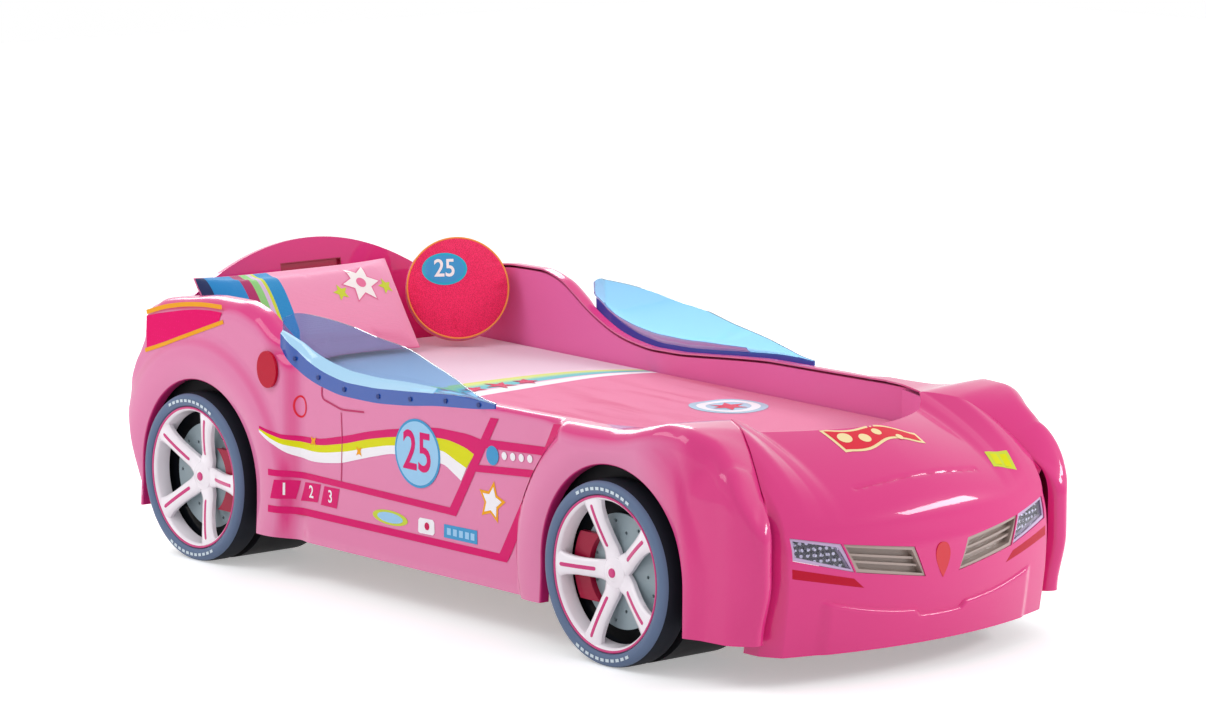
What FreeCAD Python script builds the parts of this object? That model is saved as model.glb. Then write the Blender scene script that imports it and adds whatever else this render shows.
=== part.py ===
"""Single bed for a child in the shape of a low sports car.

Millimetres, +X towards the nose, +Z up, origin on the floor under the middle of the bed.
The two long sides, the nose and the tail are thin moulded skins over flat boards. Four wheel
stations stand on the floor and carry the boards, and the mattress lies on slats between them.
"""
import FreeCAD, Part
import math
import os

os.makedirs("parts", exist_ok=True)

# ---- driving dimensions -------------------------------------------------------------------
LENGTH = 2350.0
REAR_AXLE_X = -866.0
FRONT_AXLE_X = 674.0
AXLE_Z = 203.5
SKIN = 4.0                      # wall of the moulded skins

WELL_HALF = 446.0               # inner face of the side boards
BOARD = 16.0                    # thickness of the side boards
BOARD_BOTTOM = 130.0
BOARD_GAP = 10.0                # from the skin's outer face down to a board's top edge
WELL_BACK_X = -1040.0           # front face of the headboard, at its foot
BOW_START_X = 534.0             # here the foot end of the well starts to close
BOW_DEPTH = 410.0
BOW_POWER = 1.7
BOW_WALL = 6.0
BOW_WALL_BOTTOM = 262.0

SILL_Z = 100.0                  # lower edge of the side skins
CORNER_R = 20.0                 # tail corners in plan
CORNER_START = math.radians(4)  # the side skins start this far round their tail corners
WING_TURN_X = 1000.0            # from here the side skins turn round the front corners
FLARE_Y = 520.0                 # outer face of the wheel arch flares
ARCH_R = 241.0
FLARE_R = (318.0, 352.0)        # the flare fades into the door between these radii
FRONT_FLARE_R = (256.0, 307.0)  # and into the wing ahead of the front wheel between these

SEAM_X = (811.0, 1062.0)        # seam between wing and bonnet, back end and front end
SEAM_Y = (290.0, 414.0)
SEAM_GAP = 4.0                  # between the bonnet and the wing, across and down
RIM_Z = 503.0                   # edge of the bonnet round the foot end of the well
NOSE_X = LENGTH / 2 - 6.0       # bumper face on the centre line; the badge stands proud of it
NOSE_BOW = 0.00045              # bumper face falls back by this times y squared
NOSE_TURN_Z = 335.0             # above this height the bumper turns into the bonnet
BUMPER_CORNER_Y = 387.0         # beyond this half width the bumper's side wall runs back
BUMPER_SIDE = 36.0              # how far back it runs, as far as the seam's end
BUMPER_BOTTOM = 68.0
BUMPER_RETURN = [(10, 0.5), (24, 1.0), (44, 1.0)]    # behind the side wall: back, outwards

# side view: height of the shoulder line along the body
SHOULDER = [(-1180, 594), (-1096, 598), (-1046, 618), (-950, 632), (-823, 645), (-728, 645),
            (-648, 627), (-596, 598), (-545, 566), (-501, 543), (-439, 517), (-369, 500),
            (-286, 491), (-212, 491), (-117, 496), (15, 505), (145, 511), (387, 511), (560, 512),
            (648, 514), (712, 522), (780, 538), (830, 547), (880, 545), (925, 533), (982, 495),
            (1030, 437), (1062, 386)]
# side view: height of the inner edge of the wings, along the foot end and then the seam
WING_INNER = [(534, 511), (650, 511), (740, 518), (811, 533), (880, 527), (940, 497),
              (1000, 448), (1062, 382)]
# tail in side view: (height, x)
TAIL = [(100, -1096), (131, -1109), (188, -1134), (272, -1163), (352, -1176), (399, -1174),
        (450, -1154), (487, -1128), (525, -1110), (640, -1106)]
# wings in plan, ahead of the front wheel: (x, half width), then round the corner to the seam's end
WING_PLAN = [(900, 508), (960, 504), (1000, 500)]
WING_CORNER = [(1000, 500), (1034, 497), (1066, 487), (1092, 470), (1105, 450), (1099, 431), (1081, 420)]
WING_TUCK = 16.0                # the corner stands this much further back at the sill
# bumper face in side view, from its plan line: (height, x)
BUMPER_FACE = [(68, -16), (130, -6), (180, 0), (240, 3), (290, 0), (335, -12)]

# bed base and bedding
SLAT_TOP = 300.0
MATTRESS_TOP = (440.0, 408.0)   # at the head end and at the foot end
SPREAD_THICK = 10.0
BEDDING_GAP = 8.0               # between the mattress and the boards

# wheels
TYRE_R = 206.0                  # 2.5 mm over the axle height, so each tyre stands on a flat
RIM_R = 173.5
TYRE_BACK_Y = 465.0
TYRE_FACE_Y = 538.0
RIM_FACE_Y = 530.0
HUB_FACE_Y = 502.0
FOOT_Y = (266.0, 446.0)         # the block that carries the board, inside it
FOOT_TOP = 250.0

HEADBOARD_TOP = 724.0
HEADBOARD_FOOT = 262.0
HEADBOARD_THICK = 16.0
HEADBOARD_LEAN = 7.8            # degrees, backwards


# ---- small helpers ------------------------------------------------------------------------
def vec(x, y, z):
    return FreeCAD.Vector(x, y, z)


def fade(value, low, high):
    """0 below low, 1 above high, smooth in between."""
    t = min(1.0, max(0.0, (value - low) / (high - low)))
    return t * t * (3 - 2 * t)


def curve(stations, x):
    """Smooth curve through the stations, without overshoot."""
    if x <= stations[0][0]:
        return float(stations[0][1])
    if x >= stations[-1][0]:
        return float(stations[-1][1])
    i = max(k for k in range(len(stations) - 1) if stations[k][0] <= x)
    slopes = [(b[1] - a[1]) / (b[0] - a[0]) for a, b in zip(stations, stations[1:])]

    def tangent(k):
        if k == 0:
            return slopes[0]
        if k == len(slopes):
            return slopes[-1]
        before, after = slopes[k - 1], slopes[k]
        if before * after <= 0:
            return 0.0
        return 2 * before * after / (before + after)

    (x0, y0), (x1, y1) = stations[i], stations[i + 1]
    h = x1 - x0
    t = (x - x0) / h
    return ((1 + 2 * t) * (1 - t) ** 2 * y0 + t * (1 - t) ** 2 * h * tangent(i)
            + t * t * (3 - 2 * t) * y1 + t * t * (t - 1) * h * tangent(i + 1))


def mix(a, b, t):
    return a + (b - a) * t


def patch(grid):
    """Smooth surface that follows a grid of points closely and never bulges past it."""
    rows, cols = len(grid), len(grid[0])
    degrees, knots, repeats = [], [], []
    for count in (rows, cols):
        degree = min(3, count - 1)
        spans = count - degree
        degrees.append(degree)
        knots.append([k / spans for k in range(spans + 1)])
        repeats.append([degree + 1] + [1] * (spans - 1) + [degree + 1])
    surface = Part.BSplineSurface()
    surface.buildFromPolesMultsKnots(grid, repeats[0], repeats[1], knots[0], knots[1], False, False,
                                     degrees[0], degrees[1])
    return surface


def sheet(outer, inner):
    """Closed solid between two grids of points with the same rows and columns."""
    faces = []
    borders = []
    for grid in (outer, inner):
        surface = patch(grid)
        faces.append(surface.toShape())
        u0, u1, v0, v1 = surface.bounds()
        borders.append([surface.uIso(u0), surface.uIso(u1), surface.vIso(v0), surface.vIso(v1)])
    for a, b in zip(*borders):
        faces.append(Part.makeRuledSurface(a.toShape(), b.toShape()))
    shell = Part.makeShell(faces)
    shell.sewShape()
    solid = Part.makeSolid(shell)
    if solid.Volume < 0:
        solid.reverse()
    return solid


def inward(grid, depth, inside):
    """The grid moved by depth along its own normals, to the side where the point inside lies."""
    rows, cols = len(grid), len(grid[0])
    moved = []
    for i in range(rows):
        line = []
        for j in range(cols):
            du = grid[min(i + 1, rows - 1)][j] - grid[max(i - 1, 0)][j]
            dv = grid[i][min(j + 1, cols - 1)] - grid[i][max(j - 1, 0)]
            normal = du.cross(dv).normalize()
            line.append((grid[i][j], normal))
        moved.append(line)
    middle, normal = moved[rows // 2][cols // 2]
    sign = 1 if (inside - middle).dot(normal) > 0 else -1
    return [[point + n * (sign * depth) for point, n in line] for line in moved]


def prism(points, direction):
    """Straight prism over a closed outline of straight lines."""
    wire = Part.makePolygon(points + [points[0]])
    return Part.Face(wire).extrude(direction)


def ring(x, z, radius, bore, y0, y1):
    """Tube about a wheel's axle line, on the right-hand side of the bed."""
    low, high = -max(y0, y1), -min(y0, y1)
    tube = Part.makeCylinder(radius, high - low, vec(x, low, z), vec(0, 1, 0))
    if bore:
        tube = tube.cut(Part.makeCylinder(bore, high - low + 2, vec(x, low - 1, z), vec(0, 1, 0)))
    return tube


def mirrored(shape):
    return shape.mirror(vec(0, 0, 0), vec(0, 1, 0))


def save(name, shape):
    if isinstance(shape, list):
        shape = Part.makeCompound(shape)
    shape.exportStep(f"parts/{name}.step")
    for k, solid in enumerate(shape.Solids):
        if not solid.isValid() or solid.Volume <= 0:
            print(f"{name} solid {k} is not sound")
    print(f"{name}: {len(shape.Solids)} solids, {sum(s.Volume for s in shape.Solids) / 1000:.0f} cm3")


def save_pair(name, shape):
    """The same piece on both sides of the bed; shape is the one at negative y."""
    save(f"{name}_right", shape)
    save(f"{name}_left", mirrored(shape))


# ---- the body's surfaces ------------------------------------------------------------------
def bow_y(x):
    """Half width of the well at x, where its foot end closes."""
    t = max(0.0, x - BOW_START_X) / BOW_DEPTH
    return WELL_HALF * max(0.0, 1 - t ** BOW_POWER) ** (1 / BOW_POWER)


def seam_y(x):
    return mix(*SEAM_Y, (x - SEAM_X[0]) / (SEAM_X[1] - SEAM_X[0]))


def inner_edge(x):
    """Plan and height of a side skin's inner edge."""
    if x <= BOW_START_X:
        return WELL_HALF, curve(SHOULDER, x)
    if x <= SEAM_X[0]:
        return mix(bow_y(x), seam_y(x), fade(x, 780, SEAM_X[0])), curve(WING_INNER, x)
    return seam_y(x), curve(WING_INNER, x)


def half_width(x, z):
    """Outer face of a side skin."""
    turn = -512 - 60 * fade(z, 500, 560)
    body = mix(505, 480, fade(x, turn - 34, turn + 34))
    body += 14 * (1 - fade(z, 100, 190)) * fade(x, -520, -440)
    body = mix(body, 508, fade(x, 400, 620))
    ahead = fade(x, 880, 925)
    if ahead:
        body = curve(WING_PLAN, x) - 16 * fade(z, 400, 470) * fade(x, 900, 960)
    low, high = (mix(a, b, ahead) for a, b in zip(FLARE_R, FRONT_FLARE_R))
    for axle in (REAR_AXLE_X, FRONT_AXLE_X):
        radius = math.hypot(x - axle, z - AXLE_Z)
        crown = 6 * math.sin(math.pi * min(1.0, max(0.0, (radius - ARCH_R) / 90)))
        body = mix(FLARE_Y - 6 + mix(crown, 4, ahead), body, fade(radius, low, high))
    return body


def section(x_of, y_off, rows=18):
    """One rib of a side skin, from its inner edge over the shoulder down to the sill."""
    top_x = x_of(620)
    y_in, z_in = inner_edge(top_x)
    z_top = curve(SHOULDER, top_x)
    door = fade(top_x, -600, -520) * (1 - fade(top_x, 380, 560))
    drop = mix(46, 18, door)
    width = half_width(top_x, z_top - drop) - y_off
    roll = min(mix(42, 15, door), width - y_in - 3)
    y_top = width - roll
    points = [(y_in, z_in), (mix(y_in, y_top, 0.5), mix(z_in, z_top, 0.62))]
    for step in range(5):
        angle = math.radians(22.5 * step)
        points.append((y_top + roll * math.sin(angle), z_top - drop * (1 - math.cos(angle))))
    start = points[-1][1]
    faces = rows - len(points)
    for k in range(1, faces + 1):
        z = mix(start, SILL_Z, k / faces)
        points.append((half_width(x_of(z), z) - y_off, z))
    rib = []
    for k, (y, z) in enumerate(points):
        rib.append(vec(x_of(z) if k > 6 else top_x, -y, z))
    return rib


def wing_corner(share):
    """Plan of a wing's front corner; share runs from the last plain rib to the seam's end."""
    place = share * (len(WING_CORNER) - 1)
    return tuple(curve([(k, p[a]) for k, p in enumerate(WING_CORNER)], place) for a in (0, 1))


def corner_rib(share, rows=18):
    """One rib of a wing's front corner, from the seam over the crest and down the front."""
    x0 = mix(WING_TURN_X, SEAM_X[1], share)
    y0, z0 = seam_y(x0), curve(WING_INNER, x0)
    x1, y1 = wing_corner(share)
    z1 = mix(curve(SHOULDER, WING_TURN_X) - 46, 318, fade(share, 0, 0.7))
    rise = mix(28, -7, fade(share, 0, 0.6))
    lift = mix(50, 40, fade(share, 0, 0.7))
    poles = [(x0, y0, z0), (mix(x0, x1, 0.3), mix(y0, y1, 0.3), z0 + rise), (x1, y1, z1 + lift), (x1, y1, z1)]
    rib = []
    for k in range(7):
        t = k / 6
        weights = ((1 - t) ** 3, 3 * t * (1 - t) ** 2, 3 * t * t * (1 - t), t ** 3)
        x, y, z = (sum(w * p[a] for w, p in zip(weights, poles)) for a in range(3))
        rib.append(vec(x, -y, z))
    for k in range(1, rows - 6):
        z = mix(z1, SILL_Z, k / (rows - 7))
        tuck = WING_TUCK * (1 - fade(z, 100, 235)) * fade(share, 0, 0.5)
        rib.append(vec(x1 - tuck, -y1, z))
    return rib


def side_grid(step=34.0):
    ribs = []
    for k in range(6):
        angle = mix(CORNER_START, math.pi / 2, k / 5)
        back = CORNER_R * (1 - math.cos(angle))
        inside = CORNER_R * (1 - math.sin(angle))
        ribs.append(section(lambda z, back=back: curve(TAIL, z) + back, inside))
    for k in range(1, 5):
        ribs.append(section(lambda z, k=k: mix(curve(TAIL, z) + CORNER_R, -940, k / 5), 0))
    count = int((WING_TURN_X + 940) / step)
    for k in range(count + 1):
        x = mix(-940, WING_TURN_X, k / count)
        ribs.append(section(lambda z, x=x: x, 0))
    for k in range(1, 13):
        ribs.append(corner_rib(k / 12))
    return ribs


def side_panel():
    grid = side_grid()
    skin = sheet(grid, inward(grid, SKIN, vec(0, 0, 300)))
    for axle in (REAR_AXLE_X, FRONT_AXLE_X):
        skin = skin.cut(ring(axle, AXLE_Z, ARCH_R, 0, 400, 600))
        lower = Part.makeBox(2 * ARCH_R, 200, AXLE_Z, vec(axle - ARCH_R, -600, 0))
        skin = skin.cut(lower)
    return skin


def nose_x(y, z):
    """Outer face of the bumper below its turn into the bonnet."""
    turn = max(0.0, abs(y) - BUMPER_CORNER_Y) / (SEAM_Y[1] - BUMPER_CORNER_Y)
    return NOSE_X - NOSE_BOW * y * y - BUMPER_SIDE * turn + curve(BUMPER_FACE, z)


def nose_rib(y, back=0.0, side=0.0):
    """One rib of the front moulding, from the well or the seam down to the bumper's lower edge."""
    reach = abs(y)
    if reach < SEAM_Y[0]:
        share = (reach / WELL_HALF) ** BOW_POWER
        x0 = BOW_START_X + BOW_DEPTH * (1 - share) ** (1 / BOW_POWER)
        x0 = mix(x0, SEAM_X[0], fade(reach, 262, SEAM_Y[0]))
        z0 = mix(RIM_Z, curve(WING_INNER, SEAM_X[0]) - SEAM_GAP, fade(reach, 236, SEAM_Y[0]))
    else:
        x0 = mix(*SEAM_X, (reach - SEAM_Y[0]) / (SEAM_Y[1] - SEAM_Y[0]))
        z0 = curve(WING_INNER, x0) - SEAM_GAP
    y -= math.copysign(SEAM_GAP * fade(reach, 236, SEAM_Y[0]), y)
    x1 = nose_x(y, NOSE_TURN_Z)
    run, fall = x1 - x0, z0 - NOSE_TURN_Z
    poles = [(x0, z0), (x0 + 0.42 * run, z0 - 0.20 * fall), (x1 - 0.056 * run, NOSE_TURN_Z + 0.39 * fall),
             (x1, NOSE_TURN_Z)]
    points = []
    for k in range(9):
        t = k / 9
        weights = ((1 - t) ** 3, 3 * t * (1 - t) ** 2, 3 * t * t * (1 - t), t ** 3)
        points.append(tuple(sum(w * p[a] for w, p in zip(weights, poles)) for a in (0, 1)))
    for k in range(9):
        z = mix(NOSE_TURN_Z, BUMPER_BOTTOM, k / 8)
        points.append((nose_x(y, z), z))
    return [vec(x - back, y + math.copysign(side, y), z) for x, z in points]


def nose_grid():
    ribs = []
    for back, side in reversed(BUMPER_RETURN):
        ribs.append(nose_rib(-SEAM_Y[1], back, side))
    across = [18.5 * k for k in range(21)] + [380.0, 387.0, 391.0, 395.0, 400.0, 406.0, SEAM_Y[1]]
    for y in [-y for y in reversed(across[1:])] + across:
        ribs.append(nose_rib(y))
    for back, side in BUMPER_RETURN:
        ribs.append(nose_rib(SEAM_Y[1], back, side))
    return ribs


def on_nose(corners, out, steps=(9, 4)):
    """Grid of points on the bumper face inside four (y, z) corners, moved forward by out.

    Corners run outer top, inner top, inner bottom, outer bottom, and y is negative on the right.
    """
    a, b, c, d = corners
    grid = []
    for i in range(steps[0]):
        s = i / (steps[0] - 1)
        line = []
        for j in range(steps[1]):
            t = j / (steps[1] - 1)
            y = mix(mix(a[0], b[0], s), mix(d[0], c[0], s), t)
            z = mix(mix(a[1], b[1], s), mix(d[1], c[1], s), t)
            line.append(vec(nose_x(y, z) + out, y, z))
        grid.append(line)
    return grid


def nose_plate(corners, front, back):
    return sheet(on_nose(corners, front), on_nose(corners, back))


def inset(corners, gap):
    """The same four corners, moved towards their middle by about gap on each side."""
    cy = sum(p[0] for p in corners) / 4
    cz = sum(p[1] for p in corners) / 4
    return [(y + math.copysign(gap, cy - y), z + math.copysign(gap, cz - z)) for y, z in corners]


# lamps and grilles on the bumper face of the right-hand side: (y, z) corners
LAMP = [(-380, 327), (-266, 306), (-238, 243), (-380, 279)]
GRILLE = [(-262, 305), (-80, 282), (-50, 214), (-234, 242)]
MARKER = [(-382, 262), (-240, 230), (-214, 207), (-382, 241)]


def front_moulding():
    grid = nose_grid()
    shell = sheet(grid, inward(grid, SKIN, vec(900, 0, 250)))
    for outline in (LAMP, GRILLE):
        hole = prism([vec(950, y, z) for y, z in outline], vec(400, 0, 0))
        shell = shell.cut(hole).cut(mirrored(hole))
    return shell


def lamp_tray(outline, depth):
    """Open tray that fills a hole in the bumper."""
    body = nose_plate(inset(outline, 0.6), 1.5, -depth)
    return body.cut(nose_plate(inset(outline, 7.0), 6.0, -depth + 3))


def headlamps():
    save_pair("headlamp_housing", lamp_tray(LAMP, 26))
    board = nose_plate(inset(LAMP, 7.6), -15, -18)
    a, b, c, d = inset(LAMP, 20)
    lamps = []
    for i in range(8):
        for j in range(3):
            s, t = i / 7, j / 2
            y = mix(mix(a[0], b[0], s), mix(d[0], c[0], s), t)
            z = mix(mix(a[1], b[1], s), mix(d[1], c[1], s), t)
            lamps.append(Part.makeCylinder(3.5, 5, vec(nose_x(y, z) - 16.5, y, z), vec(1, 0, 0)))
    save_pair("led_board", board.fuse(lamps))
    save_pair("headlamp_lens", nose_plate(inset(LAMP, 7.4), -1.5, -4.5))


def grilles():
    tray = lamp_tray(GRILLE, 22)
    inner = inset(GRILLE, 7.2)
    bars = []
    for share in (0.3, 0.62):
        a, b, c, d = inner
        top = [(mix(a[0], d[0], share), mix(a[1], d[1], share)),
               (mix(b[0], c[0], share), mix(b[1], c[1], share))]
        low = [(p[0], p[1] - 5) for p in reversed(top)]
        bars.append(nose_plate(top + low, -6, -19.5))
    save_pair("grille_insert", tray.fuse(bars))


def marker_strips():
    save_pair("marker_strip", nose_plate(MARKER, 4.4, 1.4))


def front_badge():
    """Blank badge, a pointed oval on the centre line."""
    x0 = nose_x(0, 245) + 0.4
    half_w, top, low = 21, 283, 206
    points = [vec(x0, 0, low), vec(x0, half_w * 0.72, 232), vec(x0, half_w, 262),
              vec(x0, half_w * 0.6, 279), vec(x0, 0, top)]
    right = [vec(p.x, -p.y, p.z) for p in points]
    edges = []
    for side in (points, right):
        spline = Part.BSplineCurve()
        spline.interpolate(side)
        edges.append(spline.toShape())
    face = Part.Face(Part.Wire(Part.__sortEdges__(edges)))
    save("front_badge", face.extrude(vec(4, 0, 0)))


# ---- boards, tail and headboard -----------------------------------------------------------
def bow_points(offset=0.0, count=17, limit=WELL_HALF):
    """Half of the well's foot end in plan, from the side to the centre line, moved outwards."""
    points = []
    for k in range(count):
        angle = math.radians(90 * k / (count - 1))
        x = BOW_START_X + BOW_DEPTH * math.sin(angle) ** (2 / BOW_POWER)
        y = WELL_HALF * math.cos(angle) ** (2 / BOW_POWER)
        ahead = (x - BOW_START_X) / BOW_DEPTH
        beside = y / WELL_HALF
        normal = vec(ahead ** (BOW_POWER - 1) / BOW_DEPTH, beside ** (BOW_POWER - 1) / WELL_HALF, 0)
        normal.normalize()
        point = vec(x, y, 0) + normal * offset
        if point.y <= limit:
            points.append(point)
    return points


def well_outline(back_x, gap):
    """Face with the well's plan, smaller by gap all round."""
    half = WELL_HALF - gap
    bow = [p for p in bow_points(-gap)]
    bow[0] = vec(BOW_START_X, half, 0)
    full = bow + [vec(p.x, -p.y, 0) for p in reversed(bow[:-1])]
    spline = Part.BSplineCurve()
    spline.interpolate(full)
    corners = [vec(BOW_START_X, -half, 0), vec(back_x, -half, 0), vec(back_x, half, 0),
               vec(BOW_START_X, half, 0)]
    edges = [spline.toShape()]
    edges += [Part.makeLine(p, q) for p, q in zip(corners, corners[1:])]
    return Part.Face(Part.Wire(Part.__sortEdges__(edges)))


def side_board():
    """Flat board behind a side skin; the skin's shoulder covers its top edge."""
    start, end = -1085.0, 1005.0
    top = []
    for k in range(49):
        x = mix(start, end, k / 48)
        z = curve(SHOULDER, x)
        if x > BOW_START_X:
            z = min(z, curve(WING_INNER, x))
        top.append(vec(x, -WELL_HALF, z - BOARD_GAP - 14 * fade(x, 880, 960)))
    spline = Part.BSplineCurve()
    spline.interpolate(top)
    low = [vec(end, -WELL_HALF, top[-1].z), vec(end, -WELL_HALF, BOARD_BOTTOM),
           vec(start, -WELL_HALF, BOARD_BOTTOM), vec(start, -WELL_HALF, top[0].z)]
    edges = [spline.toShape()] + [Part.makeLine(p, q) for p, q in zip(low, low[1:])]
    face = Part.Face(Part.Wire(Part.__sortEdges__(edges)))
    return face.extrude(vec(0, -BOARD, 0))


def foot_end_wall():
    """Bent board round the foot end of the well."""
    inner = [p for p in bow_points(0.6, 25) if p.y <= WELL_HALF - BOW_WALL - 3]
    outer = bow_points(0.6 + BOW_WALL, 25)[-len(inner):]
    grids = []
    for half in (inner, outer):
        full = half + [vec(p.x, -p.y, 0) for p in reversed(half[:-1])]
        grid = []
        for p in full:
            rim = mix(RIM_Z, curve(WING_INNER, p.x), fade(abs(p.y), 250, SEAM_Y[0]))
            top = rim - BOARD_GAP - 3
            grid.append([vec(p.x, p.y, mix(BOW_WALL_BOTTOM, top, k / 3)) for k in range(4)])
        grids.append(grid)
    return sheet(*grids)


def tail_panel():
    """Moulded back panel between the tail corners."""
    grid = []
    for i in range(9):
        line = []
        for j in range(24):
            z = mix(SILL_Z, 590, j / 23)
            x = curve(TAIL, z)
            half = half_width(x, z) - CORNER_R * (1 - math.sin(CORNER_START)) - SKIN
            half -= 20 * fade(z, 515, 565)
            line.append(vec(x, mix(-half, half, i / 8), z))
        grid.append(line)
    inner = inward(grid, SKIN, vec(0, 0, 300))
    return sheet(grid, inner)


def arch_z(y):
    """Top edge of the headboard, measured up the board from its foot."""
    lean = math.radians(HEADBOARD_LEAN)
    return (HEADBOARD_TOP - HEADBOARD_FOOT - 0.00086 * y * y) / math.cos(lean)


def arch_prism(x0, x1, half, z_low, drop):
    """Upright plate with the headboard's outline, its foot at height 0."""
    points = []
    for k in range(25):
        y = mix(-half, half, k / 24)
        points.append(vec(x0, y, arch_z(y) - drop))
    spline = Part.BSplineCurve()
    spline.interpolate(points)
    low = [points[-1], vec(x0, half, z_low), vec(x0, -half, z_low), points[0]]
    edges = [spline.toShape()] + [Part.makeLine(p, q) for p, q in zip(low, low[1:])]
    face = Part.Face(Part.Wire(Part.__sortEdges__(edges)))
    return face.extrude(vec(x1 - x0, 0, 0))


def lean_back(shape):
    """Moves a shape from the headboard's own frame, front face at x = 0, to its place."""
    shape.rotate(vec(0, 0, 0), vec(0, 1, 0), -HEADBOARD_LEAN)
    shape.translate(vec(WELL_BACK_X, 0, HEADBOARD_FOOT))
    return shape


SLOT_HALF = 95.0
SLOT_Z = (380.0, 408.0)         # up the board from its foot


def headboard():
    half = WELL_HALF - 2.5
    shell = arch_prism(-HEADBOARD_THICK, 0, half, 0, 0)
    hollow = arch_prism(SKIN - HEADBOARD_THICK, -SKIN, half - SKIN, -20, SKIN + 1)
    slot = Part.makeBox(20, 2 * SLOT_HALF, SLOT_Z[1] - SLOT_Z[0], vec(-8, -SLOT_HALF, SLOT_Z[0]))
    return lean_back(shell.cut(hollow).cut(slot))


def headboard_slot():
    """Tray that lines the slot in the headboard."""
    wall = 2.0
    depth = HEADBOARD_THICK - SKIN - 1.0
    height = SLOT_Z[1] - SLOT_Z[0]
    outside = Part.makeBox(depth, 2 * SLOT_HALF - 0.6, height - 0.6,
                           vec(-depth, -SLOT_HALF + 0.3, SLOT_Z[0] + 0.3))
    inside = Part.makeBox(depth, 2 * SLOT_HALF - 0.6 - 2 * wall, height - 0.6 - 2 * wall,
                          vec(wall - depth, -SLOT_HALF + 0.3 + wall, SLOT_Z[0] + 0.3 + wall))
    return lean_back(outside.cut(inside))


# ---- side windows ------------------------------------------------------------------------
# side view of a window: (x, lower edge), (x, bend line), (x, upper edge)
WINDOW_LOW = [(-572, 572), (-531, 531), (-468, 498), (-399, 479), (-309, 467), (-213, 466),
              (-92, 473), (40, 488), (169, 498), (252, 508)]
WINDOW_BEND = [(-572, 598), (-501, 560), (-439, 531), (-369, 512), (-286, 502), (-212, 502),
               (-117, 507), (15, 516), (145, 523), (252, 517)]
WINDOW_TOP = [(-590, 604), (-510, 639), (-423, 637), (-319, 629), (-217, 614), (-116, 603),
              (-17, 580), (81, 558), (145, 540), (209, 524), (252, 519)]
WINDOW_PANE = 4.0
WINDOW_GAP = 3.0                # between the body and the window


def window_face(x, z):
    """Outer face of a window's flange, which follows the body."""
    return max(482.0, half_width(x, z)) + WINDOW_GAP + WINDOW_PANE


def window_grid(depth):
    """Rows run from the lower edge over the bend line to the upper edge, depth below the face."""
    grid = []
    for k in range(37):
        x = mix(-556, 246, k / 36)
        low, bend, top = (curve(line, x) for line in (WINDOW_LOW, WINDOW_BEND, WINDOW_TOP))
        bend = min(bend, top - 1.5)
        face_y = window_face(x, low) - depth
        line = [vec(x, -face_y, low), vec(x, -face_y, mix(low, bend, 0.5)),
                vec(x, -(face_y - 0.5), mix(low, bend, 0.9))]
        for share in (0.15, 0.4, 0.7, 1.0):
            lean = 24 * share * fade(top - bend, 0, 90)
            line.append(vec(x, -(face_y - 1.5 - lean), mix(bend, top, share)))
        grid.append(line)
    return grid


def window():
    return sheet(window_grid(0.0), window_grid(WINDOW_PANE))


SCREW_X = (-500, -410, -310, -180, -60, 70, 190)


def window_screws():
    screws = []
    for x in SCREW_X:
        z = mix(curve(WINDOW_LOW, x), curve(WINDOW_BEND, x), 0.45)
        face_y = window_face(x, curve(WINDOW_LOW, x)) + 0.8
        head = Part.makeCylinder(5.5, 2.2, vec(x, -face_y, z), vec(0, -1, 0))
        screws += [head, mirrored(head)]
    save("window_screws", screws)


# ---- wheels -------------------------------------------------------------------------------
SPOKES = 5
SPOKE_HALF = 19.0
GROOVE_HALF = 4.0


def tyre(axle):
    """Hollow-backed tyre with a flat where it stands."""
    profile = [(RIM_R - 12, TYRE_BACK_Y), (TYRE_R, TYRE_BACK_Y), (TYRE_R, TYRE_FACE_Y - 20),
               (TYRE_R - 4, TYRE_FACE_Y - 7), (TYRE_R - 14, TYRE_FACE_Y), (RIM_R + 8, TYRE_FACE_Y - 1),
               (RIM_R, TYRE_FACE_Y - 6), (RIM_R, TYRE_FACE_Y - 50), (RIM_R - 12, TYRE_FACE_Y - 56)]
    points = [vec(axle, -y, AXLE_Z + r) for r, y in profile]
    face = Part.Face(Part.makePolygon(points + [points[0]]))
    body = face.revolve(vec(axle, 0, AXLE_Z), vec(0, 1, 0), 360)
    ground = Part.makeBox(600, 400, 60, vec(axle - 300, -700, -60))
    return body.cut(ground)


def rim(axle, pointing):
    """Dished rim with split spokes; one spoke points along pointing, in degrees from +X."""
    wall = [(RIM_R - 0.5, RIM_FACE_Y), (RIM_R - 0.5, TYRE_FACE_Y - 49), (RIM_R - 6, TYRE_FACE_Y - 49),
            (RIM_R - 14, RIM_FACE_Y - 8), (RIM_R - 12, RIM_FACE_Y)]
    points = [vec(axle, -y, AXLE_Z + r) for r, y in wall]
    face = Part.Face(Part.makePolygon(points + [points[0]]))
    body = face.revolve(vec(axle, 0, AXLE_Z), vec(0, 1, 0), 360)
    hub = ring(axle, AXLE_Z, 34, 9, HUB_FACE_Y - 14, HUB_FACE_Y)
    arms = []
    for k in range(SPOKES):
        arm = prism([vec(28, -HUB_FACE_Y + 12, 0), vec(28, -HUB_FACE_Y, 0),
                     vec(RIM_R - 12, -RIM_FACE_Y + 4, 0), vec(RIM_R - 12, -RIM_FACE_Y + 18, 0)],
                    vec(0, 0, 2 * SPOKE_HALF))
        arm.translate(vec(0, 0, -SPOKE_HALF))
        groove = Part.makeBox(RIM_R, 100, 2 * GROOVE_HALF, vec(58, -600, -GROOVE_HALF))
        groove = groove.common(arm)
        groove.translate(vec(0, -7, 0))
        arm = arm.cut(groove)
        arm.rotate(vec(0, 0, 0), vec(0, -1, 0), pointing + 360 / SPOKES * k)
        arm.translate(vec(axle, 0, AXLE_Z))
        arms.append(arm)
    return body.fuse([hub] + arms)


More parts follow.
